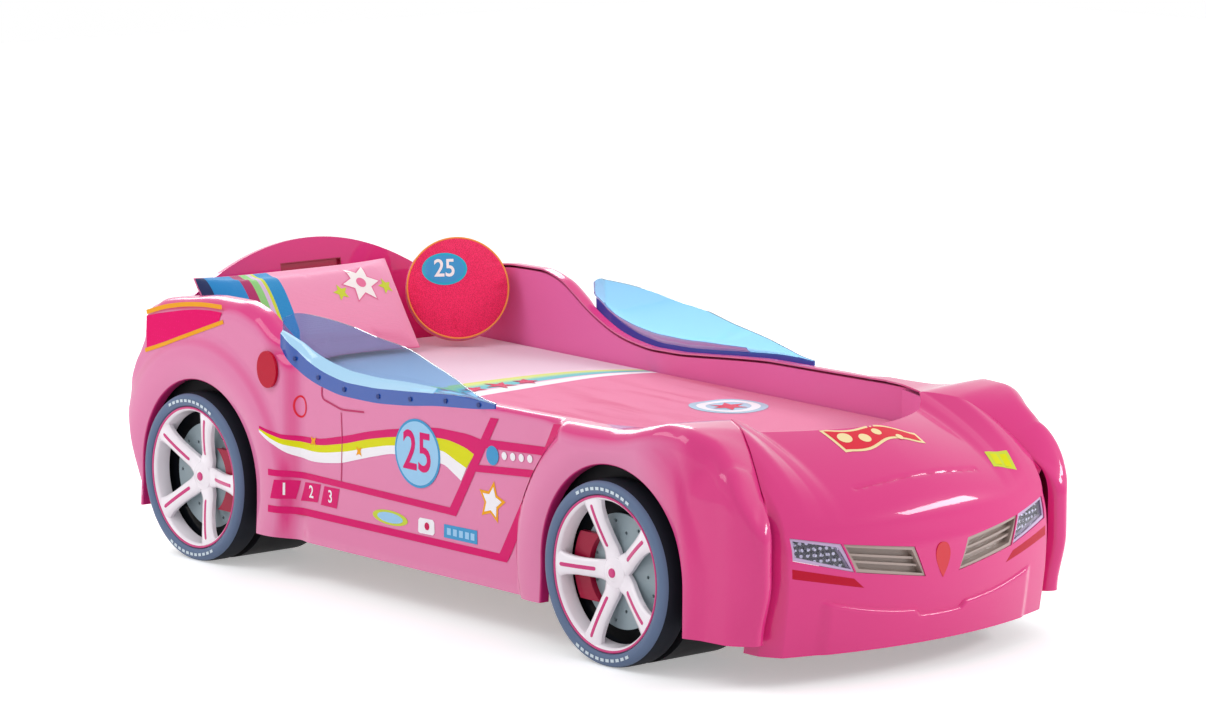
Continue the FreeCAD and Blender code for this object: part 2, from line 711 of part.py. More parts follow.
def brake_disc(axle):
    disc = ring(axle, AXLE_Z, 128, 8, 476, 482)
    holes = []
    for k in range(18):
        angle = math.radians(20 * k)
        reach = 88 + 24 * (k % 2)
        x, z = axle + reach * math.cos(angle), AXLE_Z + reach * math.sin(angle)
        holes.append(Part.makeCylinder(4, 20, vec(x, -490, z), vec(0, 1, 0)))
    return disc.cut(holes)


def caliper(axle, toward):
    """Curved block over the disc's edge; toward is +1 for the nose side, -1 for the tail side."""
    block = ring(axle, AXLE_Z, 142, 92, 482.2, 497)
    side = Part.makeBox(200, 200, 150, vec(axle if toward > 0 else axle - 200, -600, AXLE_Z - 75))
    return block.common(side)


def arch_liner(axle):
    """Black back plate and hoop that close the arch behind the tyre."""
    inner, outer = ARCH_R + 5, ARCH_R + 8
    plate = ring(axle, AXLE_Z, outer, 12, WELL_HALF + BOARD, TYRE_BACK_Y - 0.5)
    hoop = ring(axle, AXLE_Z, outer, inner, WELL_HALF + BOARD, 496)
    body = plate.fuse(hoop)
    body = body.cut(Part.makeBox(600, 200, 300, vec(axle - 300, -600, SILL_Z + 6 - 300)))
    return body.cut(Part.makeBox(110, 200, 200, vec(axle - 330, -600, -20)))


def wheel_foot(axle):
    """Block inside the board: the lower part of a drum, flat on the floor."""
    drum = ring(axle, AXLE_Z, TYRE_R, 0, *FOOT_Y)
    keep = Part.makeBox(500, 300, FOOT_TOP, vec(axle - 250, -500, 0))
    return drum.common(keep)


def wheels():
    bolts = []
    for place, axle, pointing, toward in (("rear", REAR_AXLE_X, 0, 1), ("front", FRONT_AXLE_X, 180, -1)):
        save_pair(f"{place}_tyre", tyre(axle))
        save_pair(f"{place}_rim", rim(axle, pointing))
        save_pair(f"{place}_brake_disc", brake_disc(axle))
        save_pair(f"{place}_caliper", caliper(axle, toward))
        save_pair(f"{place}_arch_liner", arch_liner(axle))
        save_pair(f"{place}_wheel_foot", wheel_foot(axle))
        shank = Part.makeCylinder(7.5, HUB_FACE_Y - WELL_HALF - BOARD - 1,
                                  vec(axle, -WELL_HALF - BOARD, AXLE_Z), vec(0, -1, 0))
        head = Part.makeCylinder(15, 6, vec(axle, -HUB_FACE_Y, AXLE_Z), vec(0, -1, 0))
        bolt = shank.fuse(Part.makeCylinder(7.5, 2, vec(axle, -HUB_FACE_Y + 1.5, AXLE_Z), vec(0, -1, 0)))
        bolt = bolt.fuse(head)
        bolts += [bolt, mirrored(bolt)]
    save("wheel_bolts", bolts)


# ---- reflectors and lead inlet ------------------------------------------------------------
REFLECTOR = (-584.0, 500.0)     # x, z
REFLECTOR_R = (38.0, 44.0)      # half width, half height


def reflector():
    x, z = REFLECTOR
    low = max(half_width(x + dx, z + dz) for dx in (-38, 0, 38) for dz in (-44, 0, 44)) + 1.6
    oval = Part.Ellipse(vec(0, 0, 0), REFLECTOR_R[1], REFLECTOR_R[0])
    face = Part.Face(Part.Wire(oval.toShape()))
    face.rotate(vec(0, 0, 0), vec(0, 0, 1), 90)
    face.rotate(vec(0, 0, 0), vec(1, 0, 0), 90)
    face.translate(vec(x, -low, z))
    return face.extrude(vec(0, -7, 0))


def lamp_inlet():
    """Low-voltage socket for the headlamps, on the tail panel."""
    z, y = 150.0, 250.0
    x = curve(TAIL, z + 12) - 0.5
    body = Part.makeBox(6, 34, 24, vec(x - 6, y - 17, z - 12))
    return body.cut(Part.makeCylinder(4, 5, vec(x - 7, y, z), vec(1, 0, 0)))


# ---- bed base -----------------------------------------------------------------------------
SLAT_COUNT = 14
SLAT_WIDE = 62.0
SLAT_THICK = 10.0
RAIL = 30.0
BEAM_X = (-470.0, -100.0, 300.0)


def bed_base():
    rail_top = SLAT_TOP - SLAT_THICK
    rail = Part.makeBox(BOW_START_X + 1010, RAIL, RAIL, vec(-1010, -WELL_HALF, rail_top - RAIL))
    save("slat_rails", [rail, mirrored(rail)])
    slats = []
    for k in range(SLAT_COUNT):
        x = mix(-960, 470, k / (SLAT_COUNT - 1))
        slats.append(Part.makeBox(SLAT_WIDE, 2 * WELL_HALF - 8, SLAT_THICK,
                                  vec(x - SLAT_WIDE / 2, -WELL_HALF + 4, rail_top)))
    save("slats", slats)
    shelf = well_outline(540, 9).common(Part.makePlane(500, 1000, vec(540, -500, 0)))
    foot_deck = shelf.extrude(vec(0, 0, SLAT_THICK))
    foot_deck.translate(vec(0, 0, rail_top))
    save("foot_deck", foot_deck)
    beams = []
    for x in BEAM_X:
        beams.append(Part.makeBox(24, 2 * WELL_HALF, 60, vec(x - 12, -WELL_HALF, rail_top - RAIL - 60)))
    save("cross_beams", beams)
    bearer = Part.makeBox(24, 620, 28, vec(700, -310, rail_top - 28))
    save("foot_bearer", bearer)


# ---- bedding ------------------------------------------------------------------------------
def bedding_slab(low, high):
    """Layer with the well's plan between two heights, each given at the head end and the foot end."""
    back, front = WELL_BACK_X + BEDDING_GAP, BOW_START_X + BOW_DEPTH
    plan = well_outline(back, BEDDING_GAP)
    block = plan.extrude(vec(0, 0, SHOULDER[0][1]))
    side = [vec(back - 1, -600, low[0]), vec(front, -600, low[1]), vec(front, -600, high[1]),
            vec(back - 1, -600, high[0])]
    return prism(side, vec(0, 1200, 0)).common(block)


def bedding():
    clear = 0.3
    spread_low = [z + clear for z in MATTRESS_TOP]
    spread_high = [z + SPREAD_THICK for z in MATTRESS_TOP]
    save("mattress", bedding_slab([SLAT_TOP + clear] * 2, MATTRESS_TOP))
    save("bedspread", bedding_slab(spread_low, spread_high))


PILLOW = dict(centre=(-935.0, -128.0, 560.0), length=590.0, height=256.0, thick=104.0, lean=34.0)
CUSHION = dict(centre=(-893.0, 311.0, 586.0), radius=132.0, thick=76.0, turn=-34.0, lean=16.0)


def pillow():
    """Long pillow that leans on the headboard."""
    p = PILLOW
    half_l, half_h, half_t = p["length"] / 2, p["height"] / 2, p["thick"] / 2
    points = [(-half_h, 0), (-half_h * 0.55, half_t * 0.86), (0, half_t), (half_h * 0.55, half_t * 0.86),
              (half_h, 0), (half_h * 0.55, -half_t * 0.86), (0, -half_t), (-half_h * 0.55, -half_t * 0.86)]
    outline = [vec(x, -half_l, z) for z, x in points]
    body = prism(outline, vec(0, p["length"], 0))
    body.rotate(vec(0, 0, 0), vec(0, 1, 0), -p["lean"])
    body.translate(vec(*p["centre"]))
    return body


def round_cushion():
    """Round boxed cushion, turned towards the near side and leaning back."""
    c = CUSHION
    body = Part.makeCylinder(c["radius"], c["thick"], vec(-c["thick"] / 2, 0, 0), vec(1, 0, 0))
    body.rotate(vec(0, 0, 0), vec(0, 1, 0), -c["lean"])
    body.rotate(vec(0, 0, 0), vec(0, 0, 1), c["turn"])
    body.translate(vec(*c["centre"]))
    return body


# ---- write every piece ----------------------------------------------------------------------
save_pair("side_panel", side_panel())
save_pair("side_board", side_board())
save("front_moulding", front_moulding())
save("foot_end_wall", foot_end_wall())
save("tail_panel", tail_panel())
save("headboard", headboard())
save("headboard_slot", headboard_slot())
save_pair("side_window", window())
window_screws()
wheels()
headlamps()
grilles()
marker_strips()
front_badge()
save_pair("reflector", reflector())
save("lamp_inlet", lamp_inlet())
bed_base()
bedding()
save("pillow", pillow())
save("round_cushion", round_cushion())
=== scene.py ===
"""Looks of a child's bed in the shape of a low sports car.

Millimetres in the shape functions, metres once a mesh is made. +X towards the nose, +Z up, the
right-hand side of the car at negative y. Surfaces follow the same formulas as the solids.
"""

import math

import bmesh
import bpy
from mathutils import Euler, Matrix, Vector
from mathutils.bvhtree import BVHTree
from mathutils.geometry import delaunay_2d_cdt


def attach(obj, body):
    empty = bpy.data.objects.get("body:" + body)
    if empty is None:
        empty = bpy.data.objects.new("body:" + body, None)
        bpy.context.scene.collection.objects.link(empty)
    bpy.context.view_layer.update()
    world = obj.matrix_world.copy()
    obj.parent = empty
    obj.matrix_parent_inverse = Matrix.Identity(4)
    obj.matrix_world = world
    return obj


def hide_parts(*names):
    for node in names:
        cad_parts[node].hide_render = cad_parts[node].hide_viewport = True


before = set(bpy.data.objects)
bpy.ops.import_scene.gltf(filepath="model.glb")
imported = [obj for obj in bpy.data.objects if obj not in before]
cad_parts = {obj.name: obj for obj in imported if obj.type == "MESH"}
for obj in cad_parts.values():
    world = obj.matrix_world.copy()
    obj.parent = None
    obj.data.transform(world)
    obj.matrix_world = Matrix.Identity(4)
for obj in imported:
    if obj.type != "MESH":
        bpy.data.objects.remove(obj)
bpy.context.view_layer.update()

MM = 0.001


def add_object(name, data):
    obj = bpy.data.objects.new(name, data)
    bpy.context.scene.collection.objects.link(obj)
    return obj


# ---- camera ---------------------------------------------------------------------------------
CAMERA_PLACE = (7.8997, -6.6746, 2.1399)
CAMERA_TURN = (81.3038, 0.0, 49.6478)   # degrees
CAMERA_LENS = 133.36                    # millimetres on a 36 mm wide sensor

camera_data = bpy.data.cameras.new("camera")
camera = add_object("camera", camera_data)
camera.location = CAMERA_PLACE
camera.rotation_euler = Euler([math.radians(a) for a in CAMERA_TURN])
camera_data.lens = CAMERA_LENS
camera_data.sensor_width = 36
camera_data.clip_end = 100
bpy.context.scene.camera = camera
bpy.context.scene.view_settings.view_transform = "Standard"

# ---- sizes of the bed, in millimetres -----------------------------------------------------------
AXLES = {"rear": -866.0, "front": 674.0}
AXLE_Z = 203.5
SKIN = 4.0
WELL_HALF = 446.0
WELL_BACK_X = -1040.0
BOW_START_X = 534.0
BOW_DEPTH = 410.0
BOW_POWER = 1.7
SILL_Z = 100.0
CORNER_R = 20.0
WING_TURN_X = 1000.0
FLARE_Y = 520.0
ARCH_R = 241.0
FLARE_R = (318.0, 352.0)
FRONT_FLARE_R = (256.0, 307.0)
SEAM_X = (811.0, 1062.0)
SEAM_Y = (290.0, 414.0)
SEAM_GAP = 0.8                  # the mouldings' rolled edges nearly meet
RIM_Z = 503.0
NOSE_X = 1169.0
NOSE_BOW = 0.00045
NOSE_TURN_Z = 335.0
BUMPER_CORNER_Y = 387.0
BUMPER_SIDE = 36.0
BUMPER_BOTTOM = 68.0
SHOULDER = [(-1180, 594), (-1096, 598), (-1046, 618), (-950, 632), (-823, 645), (-728, 645),
            (-648, 627), (-596, 598), (-545, 566), (-501, 543), (-439, 517), (-369, 500),
            (-286, 491), (-212, 491), (-117, 496), (15, 505), (145, 511), (387, 511), (560, 512),
            (648, 514), (712, 522), (780, 538), (830, 547), (880, 545), (925, 533), (982, 495),
            (1030, 437), (1062, 386)]
WING_INNER = [(534, 511), (650, 511), (740, 518), (811, 533), (880, 527), (940, 497),
              (1000, 448), (1062, 382)]
TAIL = [(100, -1096), (131, -1109), (188, -1134), (272, -1163), (352, -1176), (399, -1174),
        (450, -1154), (487, -1128), (525, -1110), (640, -1106)]
WING_PLAN = [(900, 508), (960, 504), (1000, 500)]
WING_CORNER = [(1000, 500), (1034, 497), (1066, 487), (1092, 470), (1105, 450), (1099, 431), (1081, 420)]
WING_TUCK = 26.0
BUMPER_FACE = [(68, -16), (130, -6), (180, 0), (240, 3), (290, 0), (335, -12)]
WINDOW_LOW = [(-572, 572), (-531, 531), (-468, 498), (-399, 479), (-309, 467), (-213, 466),
              (-92, 473), (40, 488), (169, 498), (252, 508)]
WINDOW_BEND = [(-572, 598), (-501, 560), (-439, 531), (-369, 512), (-286, 502), (-212, 502),
               (-117, 507), (15, 516), (145, 523), (252, 517)]
WINDOW_TOP = [(-590, 604), (-510, 639), (-423, 637), (-319, 629), (-217, 614), (-116, 603),
              (-17, 580), (81, 558), (145, 540), (209, 524), (252, 519)]
TYRE_R = 206.0
RIM_R = 173.5
TYRE_BACK_Y = 465.0
TYRE_FACE_Y = 538.0
RIM_FACE_Y = 530.0
MATTRESS_TOP = (440.0, 408.0)   # at the head end and at the foot end
SPREAD_THICK = 10.0
SLAT_TOP = 300.0
PILLOW = dict(centre=(-935.0, -128.0, 560.0), length=590.0, height=256.0, thick=104.0, lean=34.0)
CUSHION = dict(centre=(-893.0, 311.0, 586.0), radius=132.0, thick=76.0, turn=-34.0, lean=16.0)
BEDDING_GAP = 8.0
SIDES = ("right", "left")


# ---- small helpers --------------------------------------------------------------------------
def mix(a, b, t):
    return a + (b - a) * t


def fade(value, low, high):
    """0 below low, 1 above high, smooth in between."""
    t = min(1.0, max(0.0, (value - low) / (high - low)))
    return t * t * (3 - 2 * t)


def curve(stations, x):
    """Smooth curve through the stations, without overshoot."""
    if x <= stations[0][0]:
        return float(stations[0][1])
    if x >= stations[-1][0]:
        return float(stations[-1][1])
    i = max(k for k in range(len(stations) - 1) if stations[k][0] <= x)

    def slope(k):
        return (stations[k + 1][1] - stations[k][1]) / (stations[k + 1][0] - stations[k][0])

    def tangent(k):
        if k == 0:
            return slope(0)
        if k == len(stations) - 1:
            return slope(k - 1)
        before, after = slope(k - 1), slope(k)
        if before * after <= 0:
            return 0.0
        return 2 * before * after / (before + after)

    (x0, y0), (x1, y1) = stations[i], stations[i + 1]
    h = x1 - x0
    t = (x - x0) / h
    return ((1 + 2 * t) * (1 - t) ** 2 * y0 + t * (1 - t) ** 2 * h * tangent(i)
            + t * t * (3 - 2 * t) * y1 + t * t * (t - 1) * h * tangent(i + 1))


# ---- meshes -----------------------------------------------------------------------------------
SHARP = 35.0                    # degrees at which an edge stays sharp


def mesh_in_mm(name, points, faces):
    """Mesh from points in millimetres."""
    mesh = bpy.data.meshes.new(name)
    mesh.from_pydata([(x * MM, y * MM, z * MM) for x, y, z in points], [], faces)
    return mesh


def piece(name, points, faces, material, side=None, sharp=SHARP, body="bedstead", slot=None, nodes=()):
    """Mesh object from points in millimetres, riding on a body.

    A side is added to the name, and the left one is mirrored across the middle.
    """
    if side:
        name = f"{name}_{side}"
    if side == "left":
        points = [(x, -y, z) for x, y, z in points]
        faces = [tuple(reversed(face)) for face in faces]
    mesh = mesh_in_mm(name, points, faces)
    mesh.validate()
    mesh.materials.append(material)
    obj = add_object(name, mesh)
    smooth(obj, sharp)
    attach(obj, body)
    if nodes:
        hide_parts(*nodes)
    return obj


def smooth(obj, sharp):
    obj.data.shade_smooth()
    obj.data.set_sharp_from_angle(angle=math.radians(sharp))


def grid_faces(rows, cols, close_rows=False, flip=False):
    faces = []
    for i in range(rows if close_rows else rows - 1):
        for j in range(cols - 1):
            a, b = i * cols + j, i * cols + j + 1
            c, d = ((i + 1) % rows) * cols + j + 1, ((i + 1) % rows) * cols + j
            faces.append((a, d, c, b) if flip else (a, b, c, d))
    return faces


def ring_faces(rings, count):
    """Faces between rings of count points each, one ring after the other."""
    faces = []
    for i in range(rings - 1):
        for j in range(count):
            a, b = i * count + j, i * count + (j + 1) % count
            faces.append((a, b, b + count, a + count))
    return faces


def joined(parts):
    """One list of points and one of faces out of several (points, faces) pairs."""
    points, faces = [], []
    for corners, sides in parts:
        start = len(points)
        points += corners
        faces += [tuple(start + v for v in face) for face in sides]
    return points, faces


def grid_piece(name, grid, material, close_rows=False, flip=False, **rest):
    points = [point for line in grid for point in line]
    faces = grid_faces(len(grid), len(grid[0]), close_rows, flip)
    return piece(name, points, faces, material, **rest)


def paint(obj, materials, choose):
    """Adds materials; choose(face) numbers the one a face gets, where 0 is the piece's first."""
    for material in materials:
        obj.data.materials.append(material)
    for face in obj.data.polygons:
        face.material_index = choose(face)


def reshape(mesh, work):
    """Runs work on a mesh in its editable form."""
    shape = bmesh.new()
    shape.from_mesh(mesh)
    work(shape)
    shape.to_mesh(mesh)
    shape.free()


def result_of(obj):
    """Mesh of an object with its modifiers carried out."""
    graph = bpy.context.evaluated_depsgraph_get()
    return bpy.data.meshes.new_from_object(obj.evaluated_get(graph))


def apply_modifiers(obj, sharp=SHARP):
    mesh = result_of(obj)
    obj.modifiers.clear()
    obj.data = mesh
    smooth(obj, sharp)


def thicken(obj, sharp=SHARP):
    """Gives a sheet its wall, towards its back."""
    solid = obj.modifiers.new("wall", "SOLIDIFY")
    solid.thickness = SKIN * MM
    solid.offset = -1
    solid.use_even_offset = False
    apply_modifiers(obj, sharp)


def cut(obj, points, faces):
    """Cuts a closed shape, in millimetres, out of a piece."""
    tool = add_object("cutter", mesh_in_mm("cutter", points, faces))
    reshape(tool.data, lambda shape: bmesh.ops.recalc_face_normals(shape, faces=shape.faces))
    boolean = obj.modifiers.new("cut", "BOOLEAN")
    boolean.operation = "DIFFERENCE"
    boolean.solver = "EXACT"
    boolean.object = tool
    apply_modifiers(obj)
    bpy.data.objects.remove(tool)


def soften(obj, width):
    """Rounds the sharp edges of a CAD node."""
    bevel = obj.modifiers.new("edges", "BEVEL")
    bevel.width = width * MM
    bevel.segments = 3
    bevel.limit_method = "ANGLE"
    bevel.angle_limit = math.radians(50)
    bevel.harden_normals = False


def lathe(profile, axle_x, count, floor=None):
    """Points of a profile of (radius, distance from the middle) turned about a wheel's axle."""
    grid = []
    for k in range(count):
        angle = 2 * math.pi * k / count
        line = []
        for radius, y in profile:
            z = AXLE_Z + radius * math.sin(angle)
            if floor is not None:
                z = max(z, floor)
            line.append((axle_x + radius * math.cos(angle), -y, z))
        grid.append(line)
    return grid


def rounded(points, radius):
    """A line of (a, b) points with its inner corners rounded."""
    steps = 4
    line = [points[0]]
    for before, corner, after in zip(points, points[1:], points[2:]):
        back = min(radius, 0.45 * math.dist(before, corner))
        ahead = min(radius, 0.45 * math.dist(corner, after))
        start = tuple(mix(c, b, back / math.dist(before, corner)) for c, b in zip(corner, before))
        end = tuple(mix(c, a, ahead / math.dist(corner, after)) for c, a in zip(corner, after))
        for k in range(steps + 1):
            t = k / steps
            line.append(tuple((1 - t) ** 2 * s + 2 * t * (1 - t) * c + t * t * e
                              for s, c, e in zip(start, corner, end)))
    line.append(points[-1])
    return line


# ---- materials ----------------------------------------------------------------------------------
def srgb(r, g, b):
    """Linear colour of an sRGB triple from 0 to 255."""
    return tuple(((v / 255 + 0.055) / 1.055) ** 2.4 if v > 10 else v / 255 / 12.92
                 for v in (r, g, b)) + (1.0,)


class Nodes:
    """A material's node tree, with short calls for the nodes used here."""

    def __init__(self, name):
        self.material = bpy.data.materials.new(name)
        self.material.use_nodes = True
        self.tree = self.material.node_tree
        self.shader = self.tree.nodes["Principled BSDF"]

    def add(self, kind, **values):
        node = self.tree.nodes.new(kind)
        for key, value in values.items():
            setattr(node, key, value)
        return node

    def link(self, source, target):
        self.tree.links.new(source, target)

    def place(self):
        return self.add("ShaderNodeTexCoord").outputs["Object"]

    def axes(self):
        """The three coordinates of a place, in metres."""
        parts = self.add("ShaderNodeSeparateXYZ")
        self.link(self.place(), parts.inputs[0])
        return parts.outputs["X"], parts.outputs["Y"], parts.outputs["Z"]

    def stretched(self, scale):
        """The place, scaled on its own along each axis."""
        node = self.add("ShaderNodeMapping")
        node.inputs["Scale"].default_value = scale
        self.link(self.place(), node.inputs["Vector"])
        return node.outputs["Vector"]

    def noise(self, scale, detail, vector=None):
        node = self.add("ShaderNodeTexNoise")
        node.inputs["Scale"].default_value = scale
        node.inputs["Detail"].default_value = detail
        self.link(vector or self.place(), node.inputs["Vector"])
        return node.outputs["Fac"]

    def ramp(self, factor, stops, stepped=False):
        node = self.add("ShaderNodeValToRGB")
        if stepped:
            node.color_ramp.interpolation = "CONSTANT"
        elements = node.color_ramp.elements
        while len(elements) < len(stops):
            elements.new(0.5)
        for element, (position, colour) in zip(elements, stops):
            element.position = position
            element.color = colour
        self.link(factor, node.inputs["Fac"])
        return node.outputs["Color"]

    def math(self, operation, a, b=None, clamp=False):
        node = self.add("ShaderNodeMath", operation=operation, use_clamp=clamp)
        for socket, value in zip(node.inputs, (a, b)):
            if value is not None:
                self.feed(socket, value)
        return node.outputs["Value"]

    def blend(self, factor, a, b):
        node = self.add("ShaderNodeMix", data_type="RGBA")
        for socket, value in ((node.inputs[0], factor), (node.inputs[6], a), (node.inputs[7], b)):
            self.feed(socket, value)
        return node.outputs[2]

    def bump(self, height, strength, distance):
        node = self.add("ShaderNodeBump")
        node.inputs["Strength"].default_value = strength
        node.inputs["Distance"].default_value = distance
        self.link(height, node.inputs["Height"])
        return node.outputs["Normal"]

    def set(self, **values):
        names = {"base": "Base Color", "rough": "Roughness", "normal": "Normal", "sheen": "Sheen Weight",
                 "coat": "Coat Weight", "coat_rough": "Coat Roughness", "through": "Transmission Weight",
                 "ior": "IOR", "glow": "Emission Color", "glow_strength": "Emission Strength",
                 "specular": "Specular IOR Level"}
        for key, value in values.items():
            self.feed(self.shader.inputs[names[key]], value)

    def feed(self, socket, value):
        """Sets a socket to a plain value, or links it to another node's output."""
        if isinstance(value, (int, float, tuple)):
            socket.default_value = value
        else:
            self.link(value, socket)

    def worn(self, rough, spread, scale, detail):
        """Roughness that varies a little from place to place."""
        low, high = ((rough * share,) * 3 + (1.0,) for share in (1 - spread, 1 + spread))
        return self.ramp(self.noise(scale, detail), [(0.3, low), (0.7, high)])


# painted highlight: upright sides get a paler colour, standing in for the light that falls on them
LIT_SIDE_END = (0.76, 0.93)         # the sides are paler up to here, in metres
UPRIGHT = 0.82                  # a surface counts as a side once its normal is this far sideways
UPRIGHT_RATE = 6.5


def moulded(name, colour, rough=0.3, coat=0.25, orange_peel=0.03, pale=None, specular=0.25):
    """Painted or self-coloured plastic with a faint orange peel; pale is a painted highlight, the lighter
    colour it takes on upright sides as if lit.
    """
    n = Nodes(name)
    tone = n.noise(3.0, 2.0)
    dark = tuple(c * 0.97 for c in colour[:3]) + (1.0,)
    base = n.ramp(tone, [(0.35, dark), (0.65, colour)])
    # painted highlight: the more a surface faces sideways, the more it takes the pale colour
    if pale:
        normal = n.add("ShaderNodeNewGeometry").outputs["Normal"]
        parts = n.add("ShaderNodeSeparateXYZ")
        n.link(normal, parts.inputs[0])
        sideways = n.math("ABSOLUTE", parts.outputs["Y"])
        share = n.math("MULTIPLY", n.math("SUBTRACT", sideways, UPRIGHT), UPRIGHT_RATE, clamp=True)
        ahead = n.math("MULTIPLY", n.math("SUBTRACT", n.axes()[0], LIT_SIDE_END[0]),
                       1 / (LIT_SIDE_END[1] - LIT_SIDE_END[0]), clamp=True)
        share = n.math("MULTIPLY", share, n.math("SUBTRACT", 1.0, ahead))
        base = n.blend(share, base, pale)
    peel = n.noise(260.0, 2.0)
    n.set(base=base, rough=n.worn(rough, 0.07, 14.0, 4.0), coat=coat, coat_rough=0.03, specular=specular,
          normal=n.bump(peel, orange_peel, 0.0004))
    return n.material


def fabric(name, base, threads=900.0, depth=0.35):
    """Woven cloth: base is a function that makes the colour, given the node tree."""
    n = Nodes(name)
    place = n.place()
    waves = []
    for direction in ("X", "Y"):
        wave = n.add("ShaderNodeTexWave", wave_type="BANDS", bands_direction=direction)
        wave.inputs["Scale"].default_value = threads / (2 * math.pi)
        wave.inputs["Distortion"].default_value = 0.6
        wave.inputs["Detail Scale"].default_value = 3.0
        n.link(place, wave.inputs["Vector"])
        waves.append(wave.outputs["Fac"])
    weave = n.math("ADD", waves[0], waves[1])
    soft = n.noise(45.0, 4.0)
    height = n.math("ADD", n.math("MULTIPLY", weave, 0.5), soft)
    n.set(base=base(n), rough=0.85, sheen=0.25, normal=n.bump(height, depth, 0.0012))
    return n.material


PINK = srgb(224, 48, 130)
# paler pink of the lit sides, a painted highlight
PINK_LIT_SIDE = srgb(228, 124, 170)
body_pink = moulded("body_pink", PINK, rough=0.3, coat=0.7, pale=PINK_LIT_SIDE, specular=0.1)
board_pink = moulded("board_pink", srgb(234, 118, 178), rough=0.4, coat=0.15)
slot_red = moulded("slot_red", srgb(176, 34, 74), rough=0.35)
tyre_black = moulded("tyre_rubber", srgb(98, 116, 146), rough=0.5, coat=0.0, orange_peel=0.25)
tyre_dark = moulded("tyre_tread", srgb(22, 26, 36), rough=0.75, coat=0.0, orange_peel=0.3)
tyre_print = moulded("tyre_print", srgb(214, 226, 234), rough=0.5, coat=0.0)
rim_white = moulded("rim_white", srgb(252, 244, 250), rough=0.22, coat=0.5)
rim_pink = moulded("rim_pink", srgb(214, 60, 128), rough=0.3)
disc_grey = moulded("disc_grey", srgb(150, 166, 172), rough=0.35)
caliper_red = moulded("caliper_red", srgb(158, 14, 54), rough=0.3, coat=0.2, specular=0.1)
# near-black plastic; on the arch liners it is painted shade, standing in for the shade inside the wheel
# arches
liner_black = moulded("liner_black", srgb(14, 14, 20), rough=0.6, coat=0.0, orange_peel=0.3)
screw_blue = moulded("screw_blue", srgb(18, 46, 120), rough=0.35)
lamp_frame = moulded("lamp_frame", srgb(200, 178, 214), rough=0.2, coat=0.5)
grille_beige = moulded("grille_beige", srgb(176, 158, 150), rough=0.3, coat=0.4)
marker_red = moulded("marker_red", srgb(190, 0, 44), rough=0.3, coat=0.15, specular=0.1)
badge_red = moulded("badge_red", srgb(214, 16, 40), rough=0.2, coat=0.5)
badge_rim = moulded("badge_rim", srgb(86, 30, 44), rough=0.2, coat=0.5)

DECALS = {
    "magenta": srgb(220, 12, 108), "yellow": srgb(224, 222, 4), "white": srgb(250, 246, 250),
    "sky": srgb(160, 208, 242), "blue": srgb(70, 156, 208), "orange": srgb(244, 166, 20),
    "red": srgb(226, 36, 60), "lime": srgb(206, 218, 66), "crimson": srgb(206, 16, 84),
    # groove: darker pink drawn along the door's moulded lines, painted shade of their grooves
    "groove": srgb(196, 52, 104), "cream": srgb(250, 226, 170), "haze": srgb(176, 206, 224),
    "rose": srgb(236, 120, 160), "cream_white": srgb(252, 244, 240), "teal": srgb(46, 176, 204),
}
decal = {name: moulded("decal_" + name, colour, rough=0.32, coat=0.1, orange_peel=0.04, specular=0.1)
         for name, colour in DECALS.items()}


def dotted():
    """Magenta film with a fine pattern of dots."""
    n = Nodes("decal_dots")
    cells = n.add("ShaderNodeTexVoronoi")
    cells.inputs["Scale"].default_value = 110.0
    cells.inputs["Randomness"].default_value = 0.15
    n.link(n.place(), cells.inputs["Vector"])
    base = n.ramp(cells.outputs["Distance"], [(0.2, srgb(248, 14, 128)), (0.34, srgb(234, 0, 104))])
    n.set(base=base, rough=0.32, coat=0.05, specular=0.05)
    return n.material


decal["dots"] = dotted()


def clear(name, colour, through, rough=0.03):
    """Clear plastic sheet, tinted."""
    n = Nodes(name)
    low, high = ((rough * share,) * 3 + (1.0,) for share in (0.7, 1.4))
    surface = n.ramp(n.noise(30.0, 2.0), [(0.3, low), (0.7, high)])
    n.set(base=colour, rough=surface, through=through, ior=1.25, coat=0.3, coat_rough=0.02)
    return n.material


window_blue = clear("window_blue", srgb(142, 204, 240), 0.97)
window_flange = moulded("window_flange", srgb(36, 82, 172), rough=0.12, coat=0.6, orange_peel=0.02)
# pale blue painted on the bend above the flange: a painted highlight
ledge_highlight = moulded("ledge_highlight", srgb(170, 216, 246), rough=0.1, coat=0.8, orange_peel=0.01)
lens_clear = clear("lens_clear", srgb(250, 250, 255), 0.99, rough=0.01)
LED_PITCH = (0.0148, 0.0132)    # across and up, in metres


def led_board():
    """Dark board with rows of pale dots."""
    n = Nodes("led_dots")
    offs = []
    for socket, pitch in zip(n.axes()[1:], LED_PITCH):
        turns = n.math("FRACT", n.math("ADD", n.math("MULTIPLY", socket, 1 / pitch), 100.0))
        off = n.math("SUBTRACT", turns, 0.5)
        offs.append(n.math("MULTIPLY", off, off))
    reach = n.math("ADD", *offs)
    base = n.ramp(reach, [(0.055, srgb(236, 232, 252)), (0.085, srgb(34, 30, 58))])
    n.set(base=base, rough=0.3)
    return n.material


led_dark = led_board()


def wood(name):
    n = Nodes(name)
    tone = n.noise(4.0, 6.0, n.stretched((18.0, 1.2, 18.0)))
    base = n.ramp(tone, [(0.3, srgb(188, 142, 92)), (0.5, srgb(222, 184, 134)), (0.7, srgb(236, 204, 158))])
    n.set(base=base, rough=0.5, coat=0.15, normal=n.bump(tone, 0.2, 0.0008))
    return n.material


base_wood = wood("base_wood")


# ---- the body's surfaces ---------------------------------------------------------------------------
def bow_y(x):
    """Half width of the well at x, where its foot end closes."""
    t = max(0.0, x - BOW_START_X) / BOW_DEPTH
    return WELL_HALF * max(0.0, 1 - t ** BOW_POWER) ** (1 / BOW_POWER)


